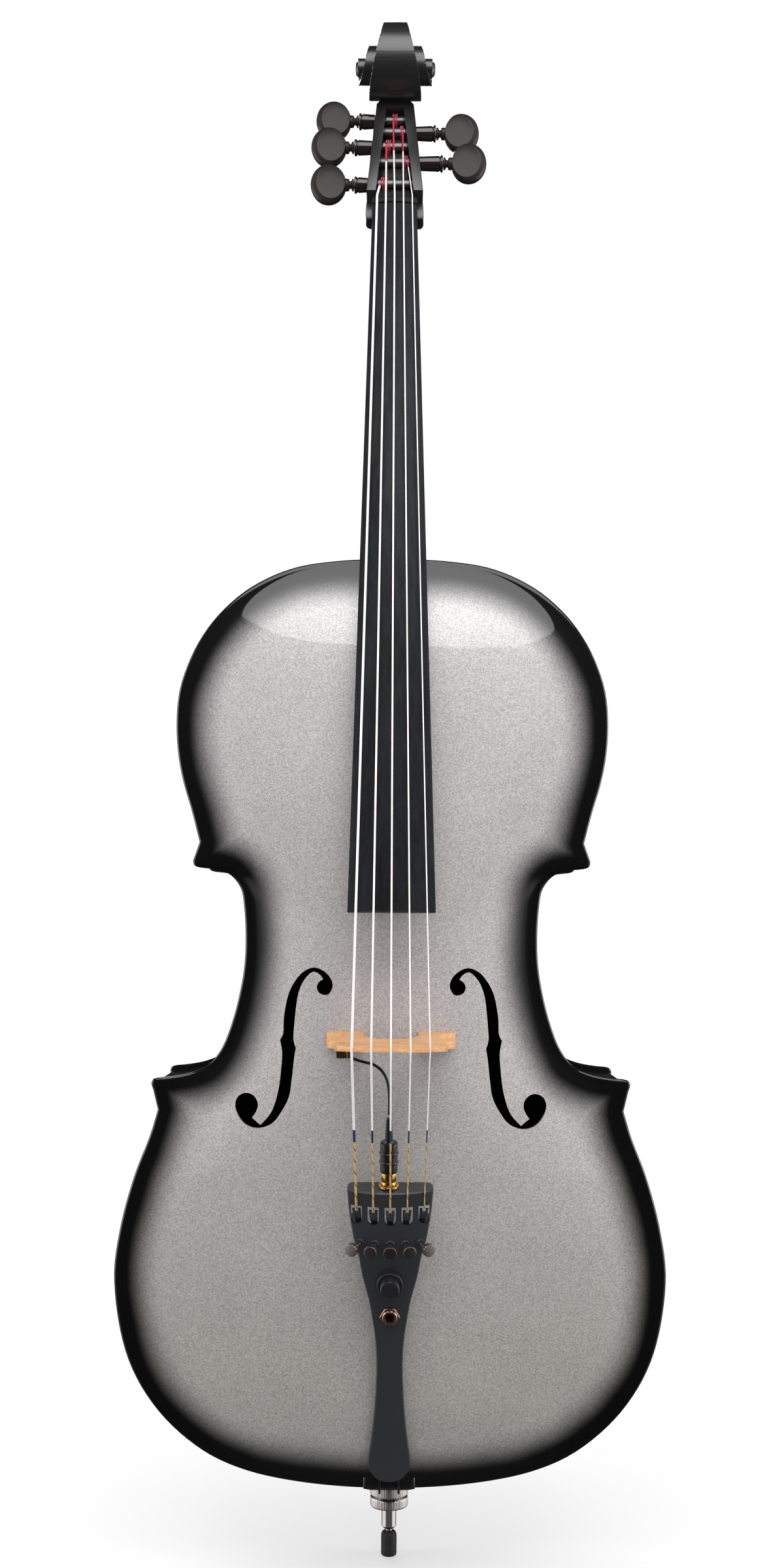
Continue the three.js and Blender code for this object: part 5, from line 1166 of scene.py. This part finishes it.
def silk_and_steel():
    material, tree, shader, where = start("string_steel", Coat_Roughness=0.3)
    steel = threads(tree, 1.0, 1400.0)["Ridge"]
    # Painted shade: the steel is darker in the grooves between the turns of its winding.
    bright = mixed(tree, steel, (0.80, 0.75, 0.74, 1), (0.98, 0.93, 0.92, 1))
    dark_thread = ranged(tree, threads(tree, 1.0, 105.0)["Thread"], 0.84, 0.88, 0.0, 1.0)
    worn = mixed(tree, noise(tree, where, 900.0, 3.0), (0.46, 0.27, 0.09, 1), (0.66, 0.44, 0.19, 1))
    gold = mixed(tree, dark_thread, worn, (0.05, 0.025, 0.03, 1))
    height = part_of(tree, where, 2)
    navy = ranged(tree, height, *NAVY_FROM, 0.0, 1.0)
    below = ranged(tree, height, *SILK_UP_TO, 1.0, 0.0)
    left_over = node(tree, "ShaderNodeAttribute", {"attribute_name": "to_the_peg"}).outputs["Fac"]
    above = ranged(tree, left_over, *SILK_FROM_PEG, 1.0, 0.0)
    low = mixed(tree, below, bright, mixed(tree, navy, gold, (0.010, 0.018, 0.085, 1)))
    # The red silk above carries painted shade in the grooves between its threads.
    ridge, red_painted_groove_shade = red_threads(tree)
    covered = math_node(tree, "MAXIMUM", below, above)
    feed(
        tree, shader, Base_Color=mixed(tree, above, low, red_painted_groove_shade),
        Metallic=ranged(tree, covered, 0.0, 1.0, 0.15, 0.0),
        Roughness=ranged(tree, covered, 0.0, 1.0, 0.3, 0.7),
        Normal=bump(tree, mixed(tree, covered, steel, ridge), 0.00003),
    )
    return material


def red_wrap():
    material, tree, shader, where = start("red_silk", Sheen_Weight=0.3, Sheen_Roughness=0.4)
    ridge, tone = red_threads(tree)
    worn = noise(tree, where, 500.0, 3.0)
    pale = mixed(tree, ranged(tree, worn, 0.45, 0.8, 0.0, 0.5), tone, (0.74, 0.10, 0.14, 1))
    rough = ranged(tree, worn, 0.3, 0.7, 0.6, 0.8)
    feed(tree, shader, Base_Color=pale, Roughness=rough, Normal=bump(tree, ridge, 0.00004))
    return material


string_steel, red_silk = silk_and_steel(), red_wrap()
for i, radius in enumerate(STRING_RADII):
    path, sides = string_path(i), 16
    string = tube(f"string_piece_{i + 1}", path, radius, sides)
    steps = [(b - a).length * MM for a, b in zip(path, path[1:])]
    left = [sum(steps[k:]) - PEG_SILK[i] for k in range(len(path))]
    mark(string, "to_the_peg", np.repeat(left, sides))
    finish(string, string_steel, "instrument", [f"string_{i + 1}"], 60)


# %% Windings on the pegs
def winding(row, name):
    pitch, per_turn = 2 * WIRE + 0.45, 48

    def point(turns):
        angle = turns * 2 * math.pi
        x = row["start"] + row["way"] * pitch * turns
        return Vector((x, -WINDING_RADIUS * math.cos(angle), WINDING_RADIUS * math.sin(angle)))

    coil = [point(k / per_turn) for k in range(int((row["loops"] - 0.5) * per_turn) + 1)]
    lead = Vector((0, 0, -2 * WIRE))
    return placed(tube(name, [coil[0] + lead, *coil, coil[-1] + lead], 0.86 * WIRE, 12), peg_place(row))


for number, row in enumerate(peg_rows, 1):
    wrap = winding(row, f"peg_silk_{number}")
    finish(wrap, red_silk, f"peg_shaft_{number}", [f"peg_winding_{number}"], 60)

# %% [markdown]
# ## The bridge
# A thin carved plate of maple stands on two feet, with waisted sides and one round eye. Its outline
# is a smooth curve through chosen shares of its width and height. It thins from feet to crown on
# the side of the fingerboard. The wood has long grain and short dark flecks, two stretched noises.

# %% Bridge
bridge_arch = [(0, 0.435), (0.157, 0.424), (0.314, 0.37), (0.412, 0.239), (0.431, 0.109), (0.42, 0.05)]
bridge_side = [
    (1, 0.054), (0.9, 0.098), (0.76, 0.152), (0.69, 0.261), (0.745, 0.37), (0.9, 0.42),
    (0.97, 0.45), (0.965, 0.54), (0.86, 0.598), (0.7, 0.62), (0.59, 0.652), (0.62, 0.71),
    (0.8, 0.739), (0.84, 0.793), (0.79, 0.87),
]


EYE_SHARE = 0.62


def bridge_outline():
    size = np.array([BRIDGE_HALF, BRIDGE_HEIGHT])
    arch = [tuple(p) for p in spline(np.array(bridge_arch) * size, 30)]
    flank = [tuple(p) for p in spline(np.array(bridge_side) * size, 90)]
    across = [mix(CROWN_HALF, 0, k / 24) for k in range(1, 25)]
    crown = [(x, BRIDGE_HEIGHT - sag(CROWN_RADIUS, x)) for x in across]
    right = [*arch, (21.4, -1.8), (BRIDGE_HALF, -6.0), *flank, *crown]
    return right + mirrored(right[1:-1])


def bridge_piece():
    outline = bridge_outline()
    back = BRIDGE_Z - 1.4
    thick = [9.5 - 6.7 * min(max(h / BRIDGE_HEIGHT, 0), 1) for x, h in outline]
    rings = [
        [(x, PLATE_TOP - h, back) for x, h in outline],
        [(x, PLATE_TOP - h, back + t) for (x, h), t in zip(outline, thick)],
    ]
    middle = Vector((0, PLATE_TOP - EYE_SHARE * BRIDGE_HEIGHT, back)) * MM
    hole = rod(6, -5, 15, Matrix.Translation(middle), 64)
    return soften(combine(lofted("bridge_piece", rings), [hole], "DIFFERENCE"), 0.6, 40, 3)


def maple_wood():
    material, tree, shader, where = start("maple", Coat_Weight=0.12, Coat_Roughness=0.35)
    long = noise(tree, stretched(tree, where, (45.0, 420.0, 420.0)), 1.0, 4.0, 0.6)
    flecks = noise(tree, stretched(tree, where, (900.0, 2600.0, 900.0)), 1.0, 2.0)
    broad = noise(tree, where, 30.0, 3.0)
    tone = mixed(tree, ranged(tree, long, 0.35, 0.65, 0.0, 1.0), (0.60, 0.27, 0.10, 1), (0.76, 0.42, 0.19, 1))
    spotted = mixed(tree, ranged(tree, flecks, 0.62, 0.72, 0.0, 0.45), tone, (0.36, 0.15, 0.055, 1))
    shaded = mixed(tree, ranged(tree, broad, 0.3, 0.7, 0.0, 0.3), spotted, (0.82, 0.48, 0.23, 1))
    rough = ranged(tree, long, 0.3, 0.7, 0.55, 0.42)
    feed(tree, shader, Base_Color=shaded, Roughness=rough, Normal=bump(tree, flecks, 0.00002))
    return material


maple = maple_wood()
finish(bridge_piece(), maple, "instrument", ["bridge"], 30)

# %% [markdown]
# ## Pickup, lead and plug
# A small pickup sits behind the bridge's left wing. Its thin lead crosses below the strings to a
# plug in the tailpiece's top end: a gilt flange and ferrule, a black ribbed grip and a rubber boot.
# First come the metals and plastics of all the small parts, each a colour, a gloss and a grain.

# %% Metals and plastics
gilt = coloured("gilt", (0.80, 0.50, 0.17), 0.18, 0.1, 700.0, 0.12, 0.00001, Metallic=1.0)
copper_plate = coloured("copper_plate", (0.72, 0.45, 0.36), 0.26, 0.05, 600.0, 0.05, 0.000003, Metallic=1.0)
brushed_nickel = coloured("brushed_nickel", (0.3, 0.25, 0.245), 0.34, 0.12, 900.0, 0.2, 0.00002, Metallic=1.0)
chrome = coloured("chrome", (0.78, 0.73, 0.715), 0.1, 0.04, 500.0, 0.05, 0.000003, Metallic=1.0)
lever_grey = coloured("lever_grey", (0.060, 0.065, 0.075), 0.38, 0.1, 700.0, 0.2, 0.00001, Metallic=0.6)
knob_black = coloured(
    "knob_black", (0.014, 0.014, 0.016), 0.3, 0.06, 800.0, 0.2, 0.000006,
    Coat_Weight=0.8, Coat_Roughness=0.12,
)
cord_black = coloured("cord_black", (0.008, 0.008, 0.009), 0.36, 0.1, 1500.0, 0.3, 0.00002)
rubber_black = coloured("rubber_black", (0.016, 0.016, 0.017), 0.66, 0.1, 1200.0, 0.25, 0.00006)
print("metals", gilt.name, copper_plate.name, brushed_nickel.name, chrome.name)


# %% Pickup and lead
def pickup_shell():
    brown = (0.035, 0.018, 0.010)
    material, tree, shader, where, tone = surface("pickup_shell", brown, 0.25, 0.05, 900.0, 0.2)
    away = math_node(tree, "ABSOLUTE", math_node(tree, "ADD", part_of(tree, where, 0), 0.0335))
    band = math_node(tree, "LESS_THAN", away, 0.0011)
    feed(tree, shader, Base_Color=mixed(tree, band, tone, (0.70, 0.45, 0.16, 1)), Metallic=band)
    return material


element = block("pickup_piece", (-41.2, -157.4, 434.1), (-30.8, -144.6, 439.75), 0.7)
finish(element, pickup_shell(), "instrument", ["pickup_element"], 40)
lead_points = [
    (-30.4, -151.5, 434.6), (-25.3, -152, 432.4), (-20.3, -152, 431), (-13.1, -152, 429.1), (-7.4, -152, 425),
    (-3.6, -152, 419.2), (-1.7, -151.8, 411.8), (-1.1, -151.4, 402.4), (-1.2, -150.4, 390.8),
]
lead_path = [Vector(p) for p in spline(lead_points, 60)]
lead = tube("pickup_lead", lead_path, 1.1, 16)
finish(lead, cord_black, "instrument", ["pickup_cable"], 60)


# %% Plug and socket
def plug_piece():
    ferrule = [
        (0, 3.0), (5.8, 3.0), (6.0, 3.3), (6.0, 4.0), (5.3, 5.2), (5.3, 5.8), (6.0, 7.2), (6.0, 12.2),
        (5.7, 12.9),
    ]
    grip = [(5.7, 13.0), (6.3, 13.05), (6.7, 13.5), (6.8, 14.0)]
    for share in (0.3, 0.6):
        z = mix(13.0, 37.7, share)
        grip += [(6.8, z), (7.4, z + 0.6), (7.5, z + 1.05), (7.4, z + 1.5), (6.8, z + 2.1)]
    grip += [(6.8, 36.4), (6.5, 37.2), (5.6, 37.7)]
    boot = [(3.6, 37.8), (3.3, 38.2)]
    for k in range(7):
        z, r = 38.6 + k * 2.5, 3.15 - k * 0.13
        boot += [(r, z), (r, z + 1.2), (r - 0.5, z + 1.4), (r - 0.5, z + 2.2)]
    boot += [(2.1, 56.4), (1.9, 57.2), (0, 57.2)]
    return turned("plug_piece", ferrule + grip + boot, 64)


SOCKET_PLACE, FERRULE_END = (-1.2, -134.914, 333.573), 12.9
SOCKET = tilted(SOCKET_PLACE, -TAIL_SLOPE)


def plug_finish():
    material, tree, shader, where = start("plug_finish")
    up, back = math.cos(math.radians(TAIL_SLOPE)), math.sin(math.radians(TAIL_SLOPE))
    rise = math_node(tree, "MULTIPLY", part_of(tree, where, 2), up)
    along = math_node(tree, "ADD", rise, math_node(tree, "MULTIPLY", part_of(tree, where, 1), -back))
    edge = (SOCKET_PLACE[2] * up - SOCKET_PLACE[1] * back + FERRULE_END) * MM
    black = ranged(tree, along, edge, edge + 0.00005, 0.0, 1.0)
    speck = noise(tree, where, 900.0, 3.0)
    dark = mixed(tree, speck, (0.006, 0.006, 0.007, 1), (0.014, 0.014, 0.016, 1))
    feed(
        tree, shader, Base_Color=mixed(tree, black, (0.85, 0.50, 0.15, 1), dark),
        Metallic=math_node(tree, "SUBTRACT", 1.0, black),
        Roughness=math_node(tree, "MULTIPLY_ADD", speck, 0.12, ranged(tree, black, 0.0, 1.0, 0.10, 0.16)),
        Normal=bump(tree, speck, 0.00001),
    )
    return material


socket_profile = [
    (0, -6), (4.4, -6), (4.4, 0.3), (7.3, 0.3), (7.9, 0.8), (8.0, 1.4), (7.7, 2.3), (7.1, 2.7), (6.6, 2.7),
    (6.4, 2.4), (6.2, 2.4), (6.2, 2.7), (0, 2.7),
]
socket = turned("socket_piece", socket_profile, 64, SOCKET)
plug_body = placed(plug_piece(), SOCKET)
finish(socket, gilt, "instrument", ["pickup_socket"])
finish(plug_body, plug_finish(), "instrument", ["pickup_plug"])

# %% [markdown]
# ## Tailpiece
# The tailpiece is one moulded form: broad and arched at the top, narrow in the middle, with a small
# flared foot. Rings with rounded corners give it, through chosen shares of its length, width and
# depth. Slots, bush holes, the hollow underneath and the pockets for the controls are then cut out.

# %% Tailpiece shapes
tail_shares = np.array([
    (0, 1, 1), (0.06, 0.965, 1), (0.12, 0.903, 0.98), (0.165, 0.842, 0.95), (0.21, 0.745, 0.92),
    (0.28, 0.65, 0.86), (0.365, 0.49, 0.8), (0.43, 0.409, 0.74), (0.5, 0.34, 0.66), (0.59, 0.311, 0.56),
    (0.73, 0.352, 0.48), (0.85, 0.436, 0.44), (0.94, 0.515, 0.42), (0.985, 0.36, 0.4), (1, 0.12, 0.36),
])


ARRIS = 0.8
CORD_ACROSS, CORD_DEPTH, CORD_RADIUS = 7.7, 4.62, 0.95


def tail_half(z):
    return read_off(tail_shares, z / TAIL_LENGTH) * TAIL_WIDTH / 2


def tail_ring(share, wide, deep, shrink=0.0):
    half, depth = wide * TAIL_WIDTH / 2 - shrink, deep * TAIL_DEPTH - shrink
    edge = sag(TAIL_RADIUS, half)
    corner = min(4.0, max(depth - edge, 0.5) / 2, half / 2)
    top = [(x, sag(TAIL_RADIUS, x) + shrink) for x in np.linspace(half - ARRIS, ARRIS - half, 25)]
    turn = np.linspace(0, math.pi / 2, 7)
    low = [(corner * math.cos(a) + half - corner, depth - corner + corner * math.sin(a)) for a in turn]
    side = [(half, edge + ARRIS + shrink), *low]
    return [(x, y, -share * TAIL_LENGTH) for x, y in [*top[::-1], *side, *mirrored(side)]]


def tail_blank():
    rows = spline([tuple(row) for row in tail_shares], 90)
    rows[0, 0] = 0.004
    return lofted("tailpiece_body", [tail_ring(0, 1, 1, 1.0), *[tail_ring(*row) for row in rows]])


def front_frame(station, x=0.0, fan=0.0):
    place = TAIL @ Matrix.Translation(Vector((x, sag(TAIL_RADIUS, x), -station)) * MM)
    return place @ Matrix.Rotation(math.pi / 2, 4, "X") @ Matrix.Rotation(fan, 4, "Y")


def slot_tool(i):
    x, half, low = string_across(i, TAIL_SPACING), 4.3, -23.3
    arc = [(x - half * math.cos(a), low - half * math.sin(a)) for a in np.linspace(0, math.pi, 17)]
    return placed(prism("slot", [(x - half, -SLOT_FROM), *arc, (x + half, -SLOT_FROM)], -24, 24), TAIL)


def tail_hollow():
    rings = []
    for z in np.linspace(9, 52, 10):
        half = tail_half(z) - 2.2
        top = [(x, sag(TAIL_RADIUS, x) + 3.6, -z) for x in np.linspace(half, -half, 13)]
        rings.append([*top, (-half, 26, -z), (half, 26, -z)])
    return placed(lofted("hollow", rings), TAIL)


print("tailpiece", TAIL_LENGTH, "by", TAIL_WIDTH, "by", TAIL_DEPTH, "mm")

# %% [markdown]
# The five bushes stand up from the front in a fan, each square to the arch where its screw goes
# in. They are added first. Every hole is then cut with a plain rod or a lofted cutter.

# %% Carving the tailpiece
tail_body = placed(tail_blank(), TAIL)
fans = [math.radians(14.0 * (i - 2)) for i in range(5)]
screw_frames = [front_frame(42.3, string_across(i, SCREW_SPACING), fan) for i, fan in enumerate(fans)]
knob_frame, jack_frame = front_frame(73.1), front_frame(103.5)
bush_profile = [(0, -1.8), (3.4, -1.8), (3.4, 1.2), (3.1, 1.6), (0, 1.6)]
POCKET_FROM, POCKET_TO = -25, -3.6
combine(tail_body, [turned("bush", bush_profile, 48, frame_i) for frame_i in screw_frames], "UNION")
cutters = [tail_hollow(), *[slot_tool(i) for i in range(5)]]
cutters += [rod(2.3, -7.2, 5, frame_i) for frame_i in screw_frames]
for control_frame, pocket, hole in ((knob_frame, 8.9, 4.0), (jack_frame, 7.0, 5.4)):
    cutters.append(rod(pocket, POCKET_FROM, POCKET_TO, control_frame))
    cutters.append(rod(hole, POCKET_FROM, 3, control_frame))
cutters.append(rod(4.8, -12, 3, SOCKET))
eyes = [TAIL @ Matrix.Translation(Vector((side * CORD_ACROSS, CORD_DEPTH, 0)) * MM) for side in (-1, 1)]
cutters += [rod(1.3, -254, -237, eye_i) for eye_i in eyes]
combine(tail_body, cutters, "DIFFERENCE")
clean(tail_body)


def moulded():
    material, tree, shader, where, tone = surface(
        "tail_composite", (0.027, 0.030, 0.034), 0.38, 0.05, 500.0, 0.12, 0.000008, Specular_IOR_Level=0.4,
    )
    speck = ranged(tree, noise(tree, where, 1600.0, 2.0), 0.74, 0.78, 0.0, 0.5)
    feed(tree, shader, Base_Color=mixed(tree, speck, tone, (0.16, 0.16, 0.17, 1)))
    return material


tail_composite = moulded()
finish(tail_body, tail_composite, "instrument", ["tailpiece"], 32)

# %% [markdown]
# Each fine tuner is a forked lever in its slot and a screw that tips it. The levers keep the shape
# of the engineering model, with their edges softened. The screws get turned shanks and fluted
# heads. A fluted edge is a ring whose radius dips by a cosine, once for each flute.


# %% Tuners
def refined(name, cad_name, width):
    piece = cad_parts[cad_name].copy()
    piece.data = piece.data.copy()
    piece.name = name
    for key in list(piece.keys()):
        del piece[key]
    piece.parent = None
    piece.hide_render = False
    bpy.context.scene.collection.objects.link(piece)
    clean(piece, 0.00001)
    applied(piece, "DECIMATE", decimate_type="DISSOLVE", angle_limit=math.radians(1))
    return soften(piece, width)


def fluted(name, radius, low, high, teeth, depth, edge, matrix=None):
    count = teeth * 8
    flute = [depth * (0.5 - 0.5 * math.cos(2 * math.pi * k / 8)) for k in range(8)]

    def ring(z, inset, cut):
        spots = [(k * 2 * math.pi / count, radius - cut * flute[k % 8] - inset) for k in range(count)]
        return [(r * math.cos(a), r * math.sin(a), z) for a, r in spots]

    round_over = [(1 - math.sin(a), 1 - math.cos(a)) for a in np.linspace(math.pi / 2, 0, 6)]
    rings = [ring(low + lift * edge, inset * edge, float(inset < 0.3)) for lift, inset in round_over]
    rings += [ring(high - lift * edge, inset * edge, float(inset < 0.3)) for lift, inset in round_over[::-1]]
    return placed(lofted(name, rings), matrix)


for i, frame_i in enumerate(screw_frames):
    lever = refined(f"lever_{i + 1}", f"tuner_lever_{i + 1}", 0.3)
    finish(lever, lever_grey, f"tuner_lever_{i + 1}", [f"tuner_lever_{i + 1}"], 40)
    name = f"tuner_screw_{i + 1}"
    low = min((frame_i.inverted() @ v.co).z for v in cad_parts[name].data.vertices) / MM
    shank = rod(2.0, low, 12.0, frame_i)
    screw = fluted(f"screw_{i + 1}", 5.1, 11.6, 16.0, 20, 0.22, 0.7, frame_i)
    combine(screw, [shank], "UNION")
    finish(clean(screw), brushed_nickel, name, [name], 35)

# %% [markdown]
# The two knobs stand one on the other: the lower one has a fluted edge, and the upper one is smooth
# with a rounded top. The jack below them is a hexagon nut round a turned ring.

# %% Knobs and jack
lower_knob = fluted("lower_knob", 10.3, 0.6, 8.6, 48, 0.25, 1.0, knob_frame)
combine(lower_knob, [rod(4.04, -1, 5.9, knob_frame), rod(2.4, -1, 12, knob_frame)], "DIFFERENCE")
finish(lower_knob, knob_black, "volume_knob", ["volume_knob"], 30)
upper_profile = [
    (0, 8.9), (7.1, 8.9), (7.5, 9.3), (7.5, 15.6), (7.35, 16.1), (6.9, 16.5), (6.2, 16.75),
    (3.0, 17.05), (0, 17.1),
]
upper_knob = turned("upper_knob", upper_profile, 96, knob_frame)
combine(upper_knob, [rod(2.4, 5, 13.9, knob_frame)], "DIFFERENCE")
finish(upper_knob, knob_black, "tone_knob", ["tone_knob"], 30)


def jack_piece():
    flats = [(8.0 * math.cos(a), 8.0 * math.sin(a)) for a in np.arange(6) * math.pi / 3]
    sizes = ((0.3, 0.95), (0.7, 1.0), (1.8, 1.0), (2.2, 0.93))
    nut = placed(lofted("jack_piece", [[(x * s, y * s, z) for x, y in flats] for z, s in sizes]), jack_frame)
    ring = [
        (0, -22), (6.6, -22), (6.6, -3.9), (5.0, -3.9), (5.0, 0.4), (5.75, 0.4), (5.75, 2.9),
        (5.3, 3.4), (0, 3.4),
    ]
    combine(nut, [turned("ring", ring, 64, jack_frame)], "UNION")
    return combine(nut, [rod(3.8, -15, 6, jack_frame, 64)], "DIFFERENCE")


finish(soften(jack_piece(), 0.25, 35), copper_plate, "instrument", ["output_jack"], 35)

# %% [markdown]
# ## Tail cord and endpin
# A black cord leaves two holes in the tailpiece's foot, crosses the saddle and loops round the
# endpin's plug. Below the body come a knurled collar, a knurled clamp nut, the chromed rod and
# a rubber tip. Knurling is a ring of fine flutes with rounded edges.


# %% Tail cord
def cord_path():
    clear = CORD_RADIUS + 0.3
    hole, mouth = [world_of(TAIL, (0, CORD_DEPTH, z)) for z in (-244.0, -254.0)]
    ridge, loop = -64.6 - clear, 12.6 + clear / math.cos(math.pi / 16)
    side = [
        (CORD_ACROSS, hole.y, hole.z), (CORD_ACROSS, mouth.y, mouth.z),
        (CORD_ACROSS, ridge, BODY_BASE + 6.5), (CORD_ACROSS, ridge, BODY_BASE + 1.53),
        (CORD_ACROSS, ridge + 2.3, BODY_BASE - 0.9 - clear),
        (CORD_ACROSS, -57.0, BODY_BASE - 0.9 - 2 * clear), (loop, 0, BODY_BASE - 8.0),
    ]
    turn = np.linspace(0, math.pi, 25)[1:-1]
    bend = [(loop * math.cos(a), loop * math.sin(a), BODY_BASE - 8.0) for a in turn]
    return [*side, *bend, *mirrored(side)]


tail_loop = tube("tail_loop", cord_path(), CORD_RADIUS, 16)
finish(tail_loop, cord_black, "instrument", ["tail_cord"], 60)

# %% Endpin
TIP, ROD_RADIUS, ROD_TOP = 21.0, 6.2, 452.6
NUT_SPAN, COLLAR_SPAN = (42.4, 51.0), (51.8, 61.4)
plug_profile = [
    (6.5, 43.0), (10.2, 43.0), (10.2, 51.3), (13.6, 51.3), (13.6, 61.4), (12.6, 61.4), (12.6, 72.6),
    (14.4, 72.6), (15.0, 73.2), (15.0, 79.8), (12.2, 79.8), (11.2, 109.0), (6.5, 109.0), (6.5, 43.0),
]


def knurled(name, span, bore, bore_from, bore_to):
    ring = fluted(name, 16.0, *span, 72, 0.2, 1.6)
    return combine(ring, [rod(bore, bore_from, bore_to)], "DIFFERENCE")


endpin_plug = turned("plug_and_collar", plug_profile, 64)
combine(endpin_plug, [knurled("collar", COLLAR_SPAN, 13.2, 50, 63)], "UNION")
finish(clean(endpin_plug), chrome, "instrument", ["endpin_plug"], 35)
clamp_nut = knurled("clamp_ring", NUT_SPAN, 10.6, 40, 53)
finish(clean(clamp_nut), chrome, "clamp_nut", ["endpin_clamp_nut"], 35)
pin_profile = [
    (0, 9.3), (2.9, 9.3), (2.9, TIP + 1.7), (3.5, TIP + 1.9), (5.0, TIP + 3.0), (ROD_RADIUS, TIP + 4.6),
    (ROD_RADIUS, 450.8), (5.8, 451.9), (4.8, ROD_TOP), (0, ROD_TOP),
]
pin = turned("endpin_bar", pin_profile, 64)
finish(pin, chrome, "endpin", ["endpin_rod"], 35)
tip_profile = [
    (0, 0), (4.6, 0), (5.6, 0.4), (6.3, 1.1), (6.6, 2.0), (6.6, 4.2), (6.3, 4.5), (6.3, 5.0), (6.6, 5.3),
    (6.6, 16.8), (6.4, 18.6), (5.7, 20.2), (4.6, TIP), (3.3, TIP), (3.3, 9.0), (0, 9.0),
]
tip = turned("rubber_foot", tip_profile, 64)
finish(tip, rubber_black, "endpin", ["endpin_tip"], 35)

# %% [markdown]
# ## Pieces that stay as they are
# The glued blocks and the sound post inside the body, and the control under the knobs, are hardly
# seen. They keep the engineering model's own shape and get their material: pale spruce, with its
# straight close grain, and brushed nickel.


# %% Inner pieces
def kept_as_is(name, material):
    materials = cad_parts[name].data.materials
    materials.clear()
    materials.append(material)
    print("kept", name)


spruce = long_grain("spruce", (0.62, 0.42, 0.22), 0.6, (0.44, 0.26, 0.11), (900.0, 260.0, 6.0), 0.15)
for name in ("neck_block", "end_block", "sound_post"):
    kept_as_is(name, spruce)
kept_as_is("control_pot", brushed_nickel)

# %% [markdown]
# ## Studio
# The picture has a plain white background and soft light: one large panel high in front, a wide
# soft one low in front, which shows in no reflection, a tall strip at each side and a panel behind.
# Metal and lacquer mirror a dark room in front and behind and pale walls at the sides. The floor is
# pale and fades out near the foot, so no horizon shows. The view transform is the plain one, so a
# colour shows as it is written.


# %% Floor
def pale_floor():
    material, tree, shader, where = start("pale_floor", Roughness=0.6)
    spot = noise(tree, where, 3.0, 2.0)
    reach = node(tree, "ShaderNodeVectorMath", {"operation": "LENGTH"}, Vector=where).outputs["Value"]
    fade = ranged(tree, reach, 0.02, 0.46, 0.55, 0.0, smooth=True)
    glossy = node(tree, "ShaderNodeLightPath").outputs["Is Glossy Ray"]
    kept = math_node(tree, "SUBTRACT", 1.0, math_node(tree, "MULTIPLY", glossy, 0.85))
    pale = mixed(tree, spot, (0.86, 0.86, 0.865, 1), (0.9, 0.9, 0.9, 1))
    feed(tree, shader, Base_Color=pale, Alpha=math_node(tree, "MULTIPLY", fade, kept))
    return material


bpy.ops.object.select_all(action="DESELECT")
bpy.ops.mesh.primitive_circle_add(vertices=96, radius=0.7, fill_type="NGON", location=(0, 0, 0))
floor = bpy.context.object
floor.name = "floor"
floor.data.materials.append(pale_floor())
print("floor", round(floor.dimensions.x, 2), "m across")

# %% World
world = bpy.data.worlds.new("studio")
bpy.context.scene.world = world
world.use_nodes = True
air = world.node_tree
ray = node(air, "ShaderNodeLightPath").outputs
seen = math_node(air, "MAXIMUM", ray["Is Camera Ray"], ray["Is Transmission Ray"])
heading = part_of(air, node(air, "ShaderNodeTexCoord").outputs["Generated"], 0)
walls = ranged(air, math_node(air, "ABSOLUTE", heading), 0.62, 0.9, 0.02, 0.9, smooth=True)
in_mirrors = math_node(air, "MULTIPLY", ray["Is Glossy Ray"], walls)
elsewhere = math_node(air, "MULTIPLY", math_node(air, "SUBTRACT", 1.0, ray["Is Glossy Ray"]), 0.33)
shown = math_node(air, "MAXIMUM", math_node(air, "ADD", in_mirrors, elsewhere), seen)
feed(air, air.nodes["Background"], Strength=shown, Color=(1, 1, 1, 1))
print("world", world.name)


# %% Lamps
def panel(name, place, aim, size, power):
    data = bpy.data.lights.new(name, "AREA")
    data.shape, data.size, data.size_y, data.energy = "ELLIPSE", size[0], size[1], power
    lamp = bpy.data.objects.new(name, data)
    bpy.context.scene.collection.objects.link(lamp)
    lamp.location = place
    lamp.rotation_euler = (Vector(aim) - Vector(place)).to_track_quat("-Z", "Y").to_euler()
    return lamp


panel("key", (0.1, -1.2, 1.95), (0, -0.1, 0.75), (2.3, 1.5), 30)
fill = panel("front", (0.25, -2.0, 0.6), (0.0, 0, 0.3), (1.7, 1.5), 12)
fill.visible_glossy = False
panel("left_strip", (-1.4, -0.35, 0.75), (0, -0.05, 0.6), (0.25, 1.5), 7)
panel("right_strip", (1.4, -0.3, 0.75), (0, -0.05, 0.6), (0.25, 1.5), 8)
panel("rear", (-0.4, 1.5, 1.9), (0, 0, 0.7), (1.6, 1.2), 26)
bpy.context.scene.view_settings.view_transform = "Standard"
